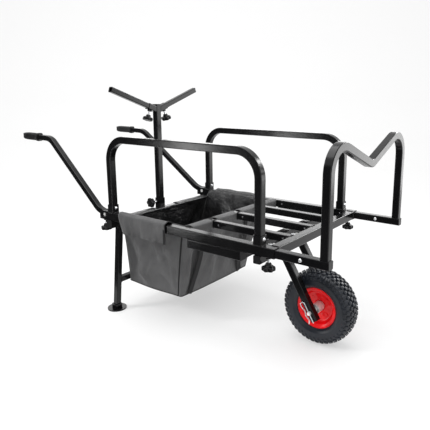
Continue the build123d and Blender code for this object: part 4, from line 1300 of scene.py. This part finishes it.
# ---------------------------------------------------------------------------------------------
# Flap bindings. Black tape is folded over the front end of each side flap and sewn there; it
# follows the flap up from the inside, over the rail and down to the hem.
for side, name in ((1, "left"), (-1, "right")):
    line, normals = [], []
    for k, (reach, rise) in enumerate(side_profile[1:]):
        before, after = side_profile[max(1, k)], side_profile[min(len(side_profile) - 1, k + 2)]
        away = Vector((0.0, -side * (after[1] - before[1]), after[0] - before[0])).normalized()
        spot = Vector((side_front - 0.0030, side * (side_y + reach), top_z + rise))
        line.append(spot + away * tape_lift)
        normals.append(away)
    ribbon(name + "_flap_binding", line, normals, 0.0110, 0.0022)


# ---------------------------------------------------------------------------------------------
# Stage. A pale floor curves up behind the cart, under soft light from above and the near side.
# Strips that shine on gloss alone light the tubes' tops, and two black panels that show in gloss
# alone keep their near sides dark.
floor_size = 14.0
floor_points, floor_faces = [], []
backs = [(-6.0, 0.0), (1.6, 0.0), (2.2, 0.02), (2.7, 0.12), (3.1, 0.35), (3.4, 0.75), (3.55, 1.4), (3.6, 5.5)]
eye = Vector((1.2770, -1.3846, 0.8442))
back = Vector((0.5787, -0.7908, 0.1994)).normalized()
away = Vector((-back.x, -back.y, 0)).normalized()
beside = Vector((-away.y, away.x, 0))
for out, up in backs:
    for t in (-1, 1):
        spot = away * out + beside * (t * floor_size / 2)
        floor_points.append((spot.x, spot.y, up))
for i in range(len(backs) - 1):
    floor_faces.append((2 * i, 2 * i + 1, 2 * i + 3, 2 * i + 2))
ground = new_mesh("floor", floor_points, floor_faces)
for face in ground.data.polygons:
    face.use_smooth = True
pale, pale_graph = new_finish("pale_floor")
close_finish(
    pale_graph,
    Base_Color=(0.46, 0.46, 0.46, 1.0),
    Roughness=0.9,
    Specular_IOR_Level=0.1,
    Emission_Color=(1.0, 1.0, 1.0, 1.0),
    Emission_Strength=0.47,
)
ground.data.materials.append(pale)
ground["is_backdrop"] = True


def soft_light(name, place, aim, size, power, diffuse=True, gloss=True, height=None):
    """A soft light that looks at a point: a square, or a rectangle if it has a height."""
    data = bpy.data.lights.new(name, "AREA")
    data.energy = power
    data.size = size
    if height:
        data.shape = "RECTANGLE"
        data.size_y = height
    lamp = bpy.data.objects.new(name, data)
    bpy.context.scene.collection.objects.link(lamp)
    lamp.visible_camera = False
    lamp.visible_diffuse = diffuse
    lamp.visible_glossy = gloss
    lamp.location = place
    lamp.rotation_euler = (Vector(aim) - Vector(place)).to_track_quat("-Z", "Y").to_euler()


soft_light("overhead", (0.1, -0.2, 3.0), (0.1, 0.0, 0.3), 2.6, 60.0)
soft_light("near_key", (-1.7, -2.2, 1.9), (0.0, 0.0, 0.3), 0.7, 42.0, gloss=False)
soft_light("front_strip", (2.0, 2.5, 0.5), (0.3, 0.0, 0.35), 1.5, 18.0, diffuse=False)
soft_light("back_strip", (-1.56, 2.56, 1.06), (0.3, 0.0, 0.42), 3.4, 12.0, diffuse=False, height=0.7)
soft_light("back_right", (1.17, 2.05, 1.60), (0.6, 0.0, 0.20), 0.8, 36.0, diffuse=False)
soft_light("near_spark", (-0.72, -1.35, 0.30), (0.6, -0.05, 0.13), 0.22, 4.5, diffuse=False, height=0.7)
soot, soot_graph = new_finish("black_flag_cloth")
close_finish(soot_graph, Base_Color=(0.01, 0.01, 0.01, 1.0), Roughness=1.0, Specular_IOR_Level=0.0)


def black_panel(name, corners):
    """A flat panel that is seen in reflections alone."""
    panel = new_mesh(name, corners, [tuple(range(len(corners)))])
    panel.visible_camera = False
    panel.visible_diffuse = False
    panel.visible_shadow = False
    panel.data.materials.append(soot)
    panel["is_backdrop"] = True


black_panel("black_flag", [(-2.1, -0.6, 0.0), (0.5, -2.1, 0.0), (0.5, -2.1, 1.5), (-2.1, -0.6, 1.5)])
apron_corners = [(-2.1, -0.6), (0.5, -2.1), (1.6, -1.1), (1.0, -0.4), (-0.9, -0.4)]
black_panel("black_apron", [(x, y, 0.003) for x, y in apron_corners])

world = bpy.data.worlds.new("studio")
world.use_nodes = True
world.node_tree.nodes["Background"].inputs["Color"].default_value = (1.0, 1.0, 1.0, 1.0)
world.node_tree.nodes["Background"].inputs["Strength"].default_value = 0.85
bpy.context.scene.world = world

right = Vector((0.8070, 0.5906, 0.0)).normalized()
up = back.cross(right)
lens = bpy.data.cameras.new("camera")
lens.lens = 39.93
lens.sensor_width = 36.0
lens.shift_x = -0.0698
lens.shift_y = -0.0581
camera = bpy.data.objects.new("camera", lens)
bpy.context.scene.collection.objects.link(camera)
camera.matrix_world = Matrix.Translation(eye) @ Matrix((right, up, back)).transposed().to_4x4()
bpy.context.scene.camera = camera
bpy.context.scene.view_settings.view_transform = "Standard"

size = {"cad": [list(corner) for corner in cad_box], "visual": [list(corner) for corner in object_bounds()]}
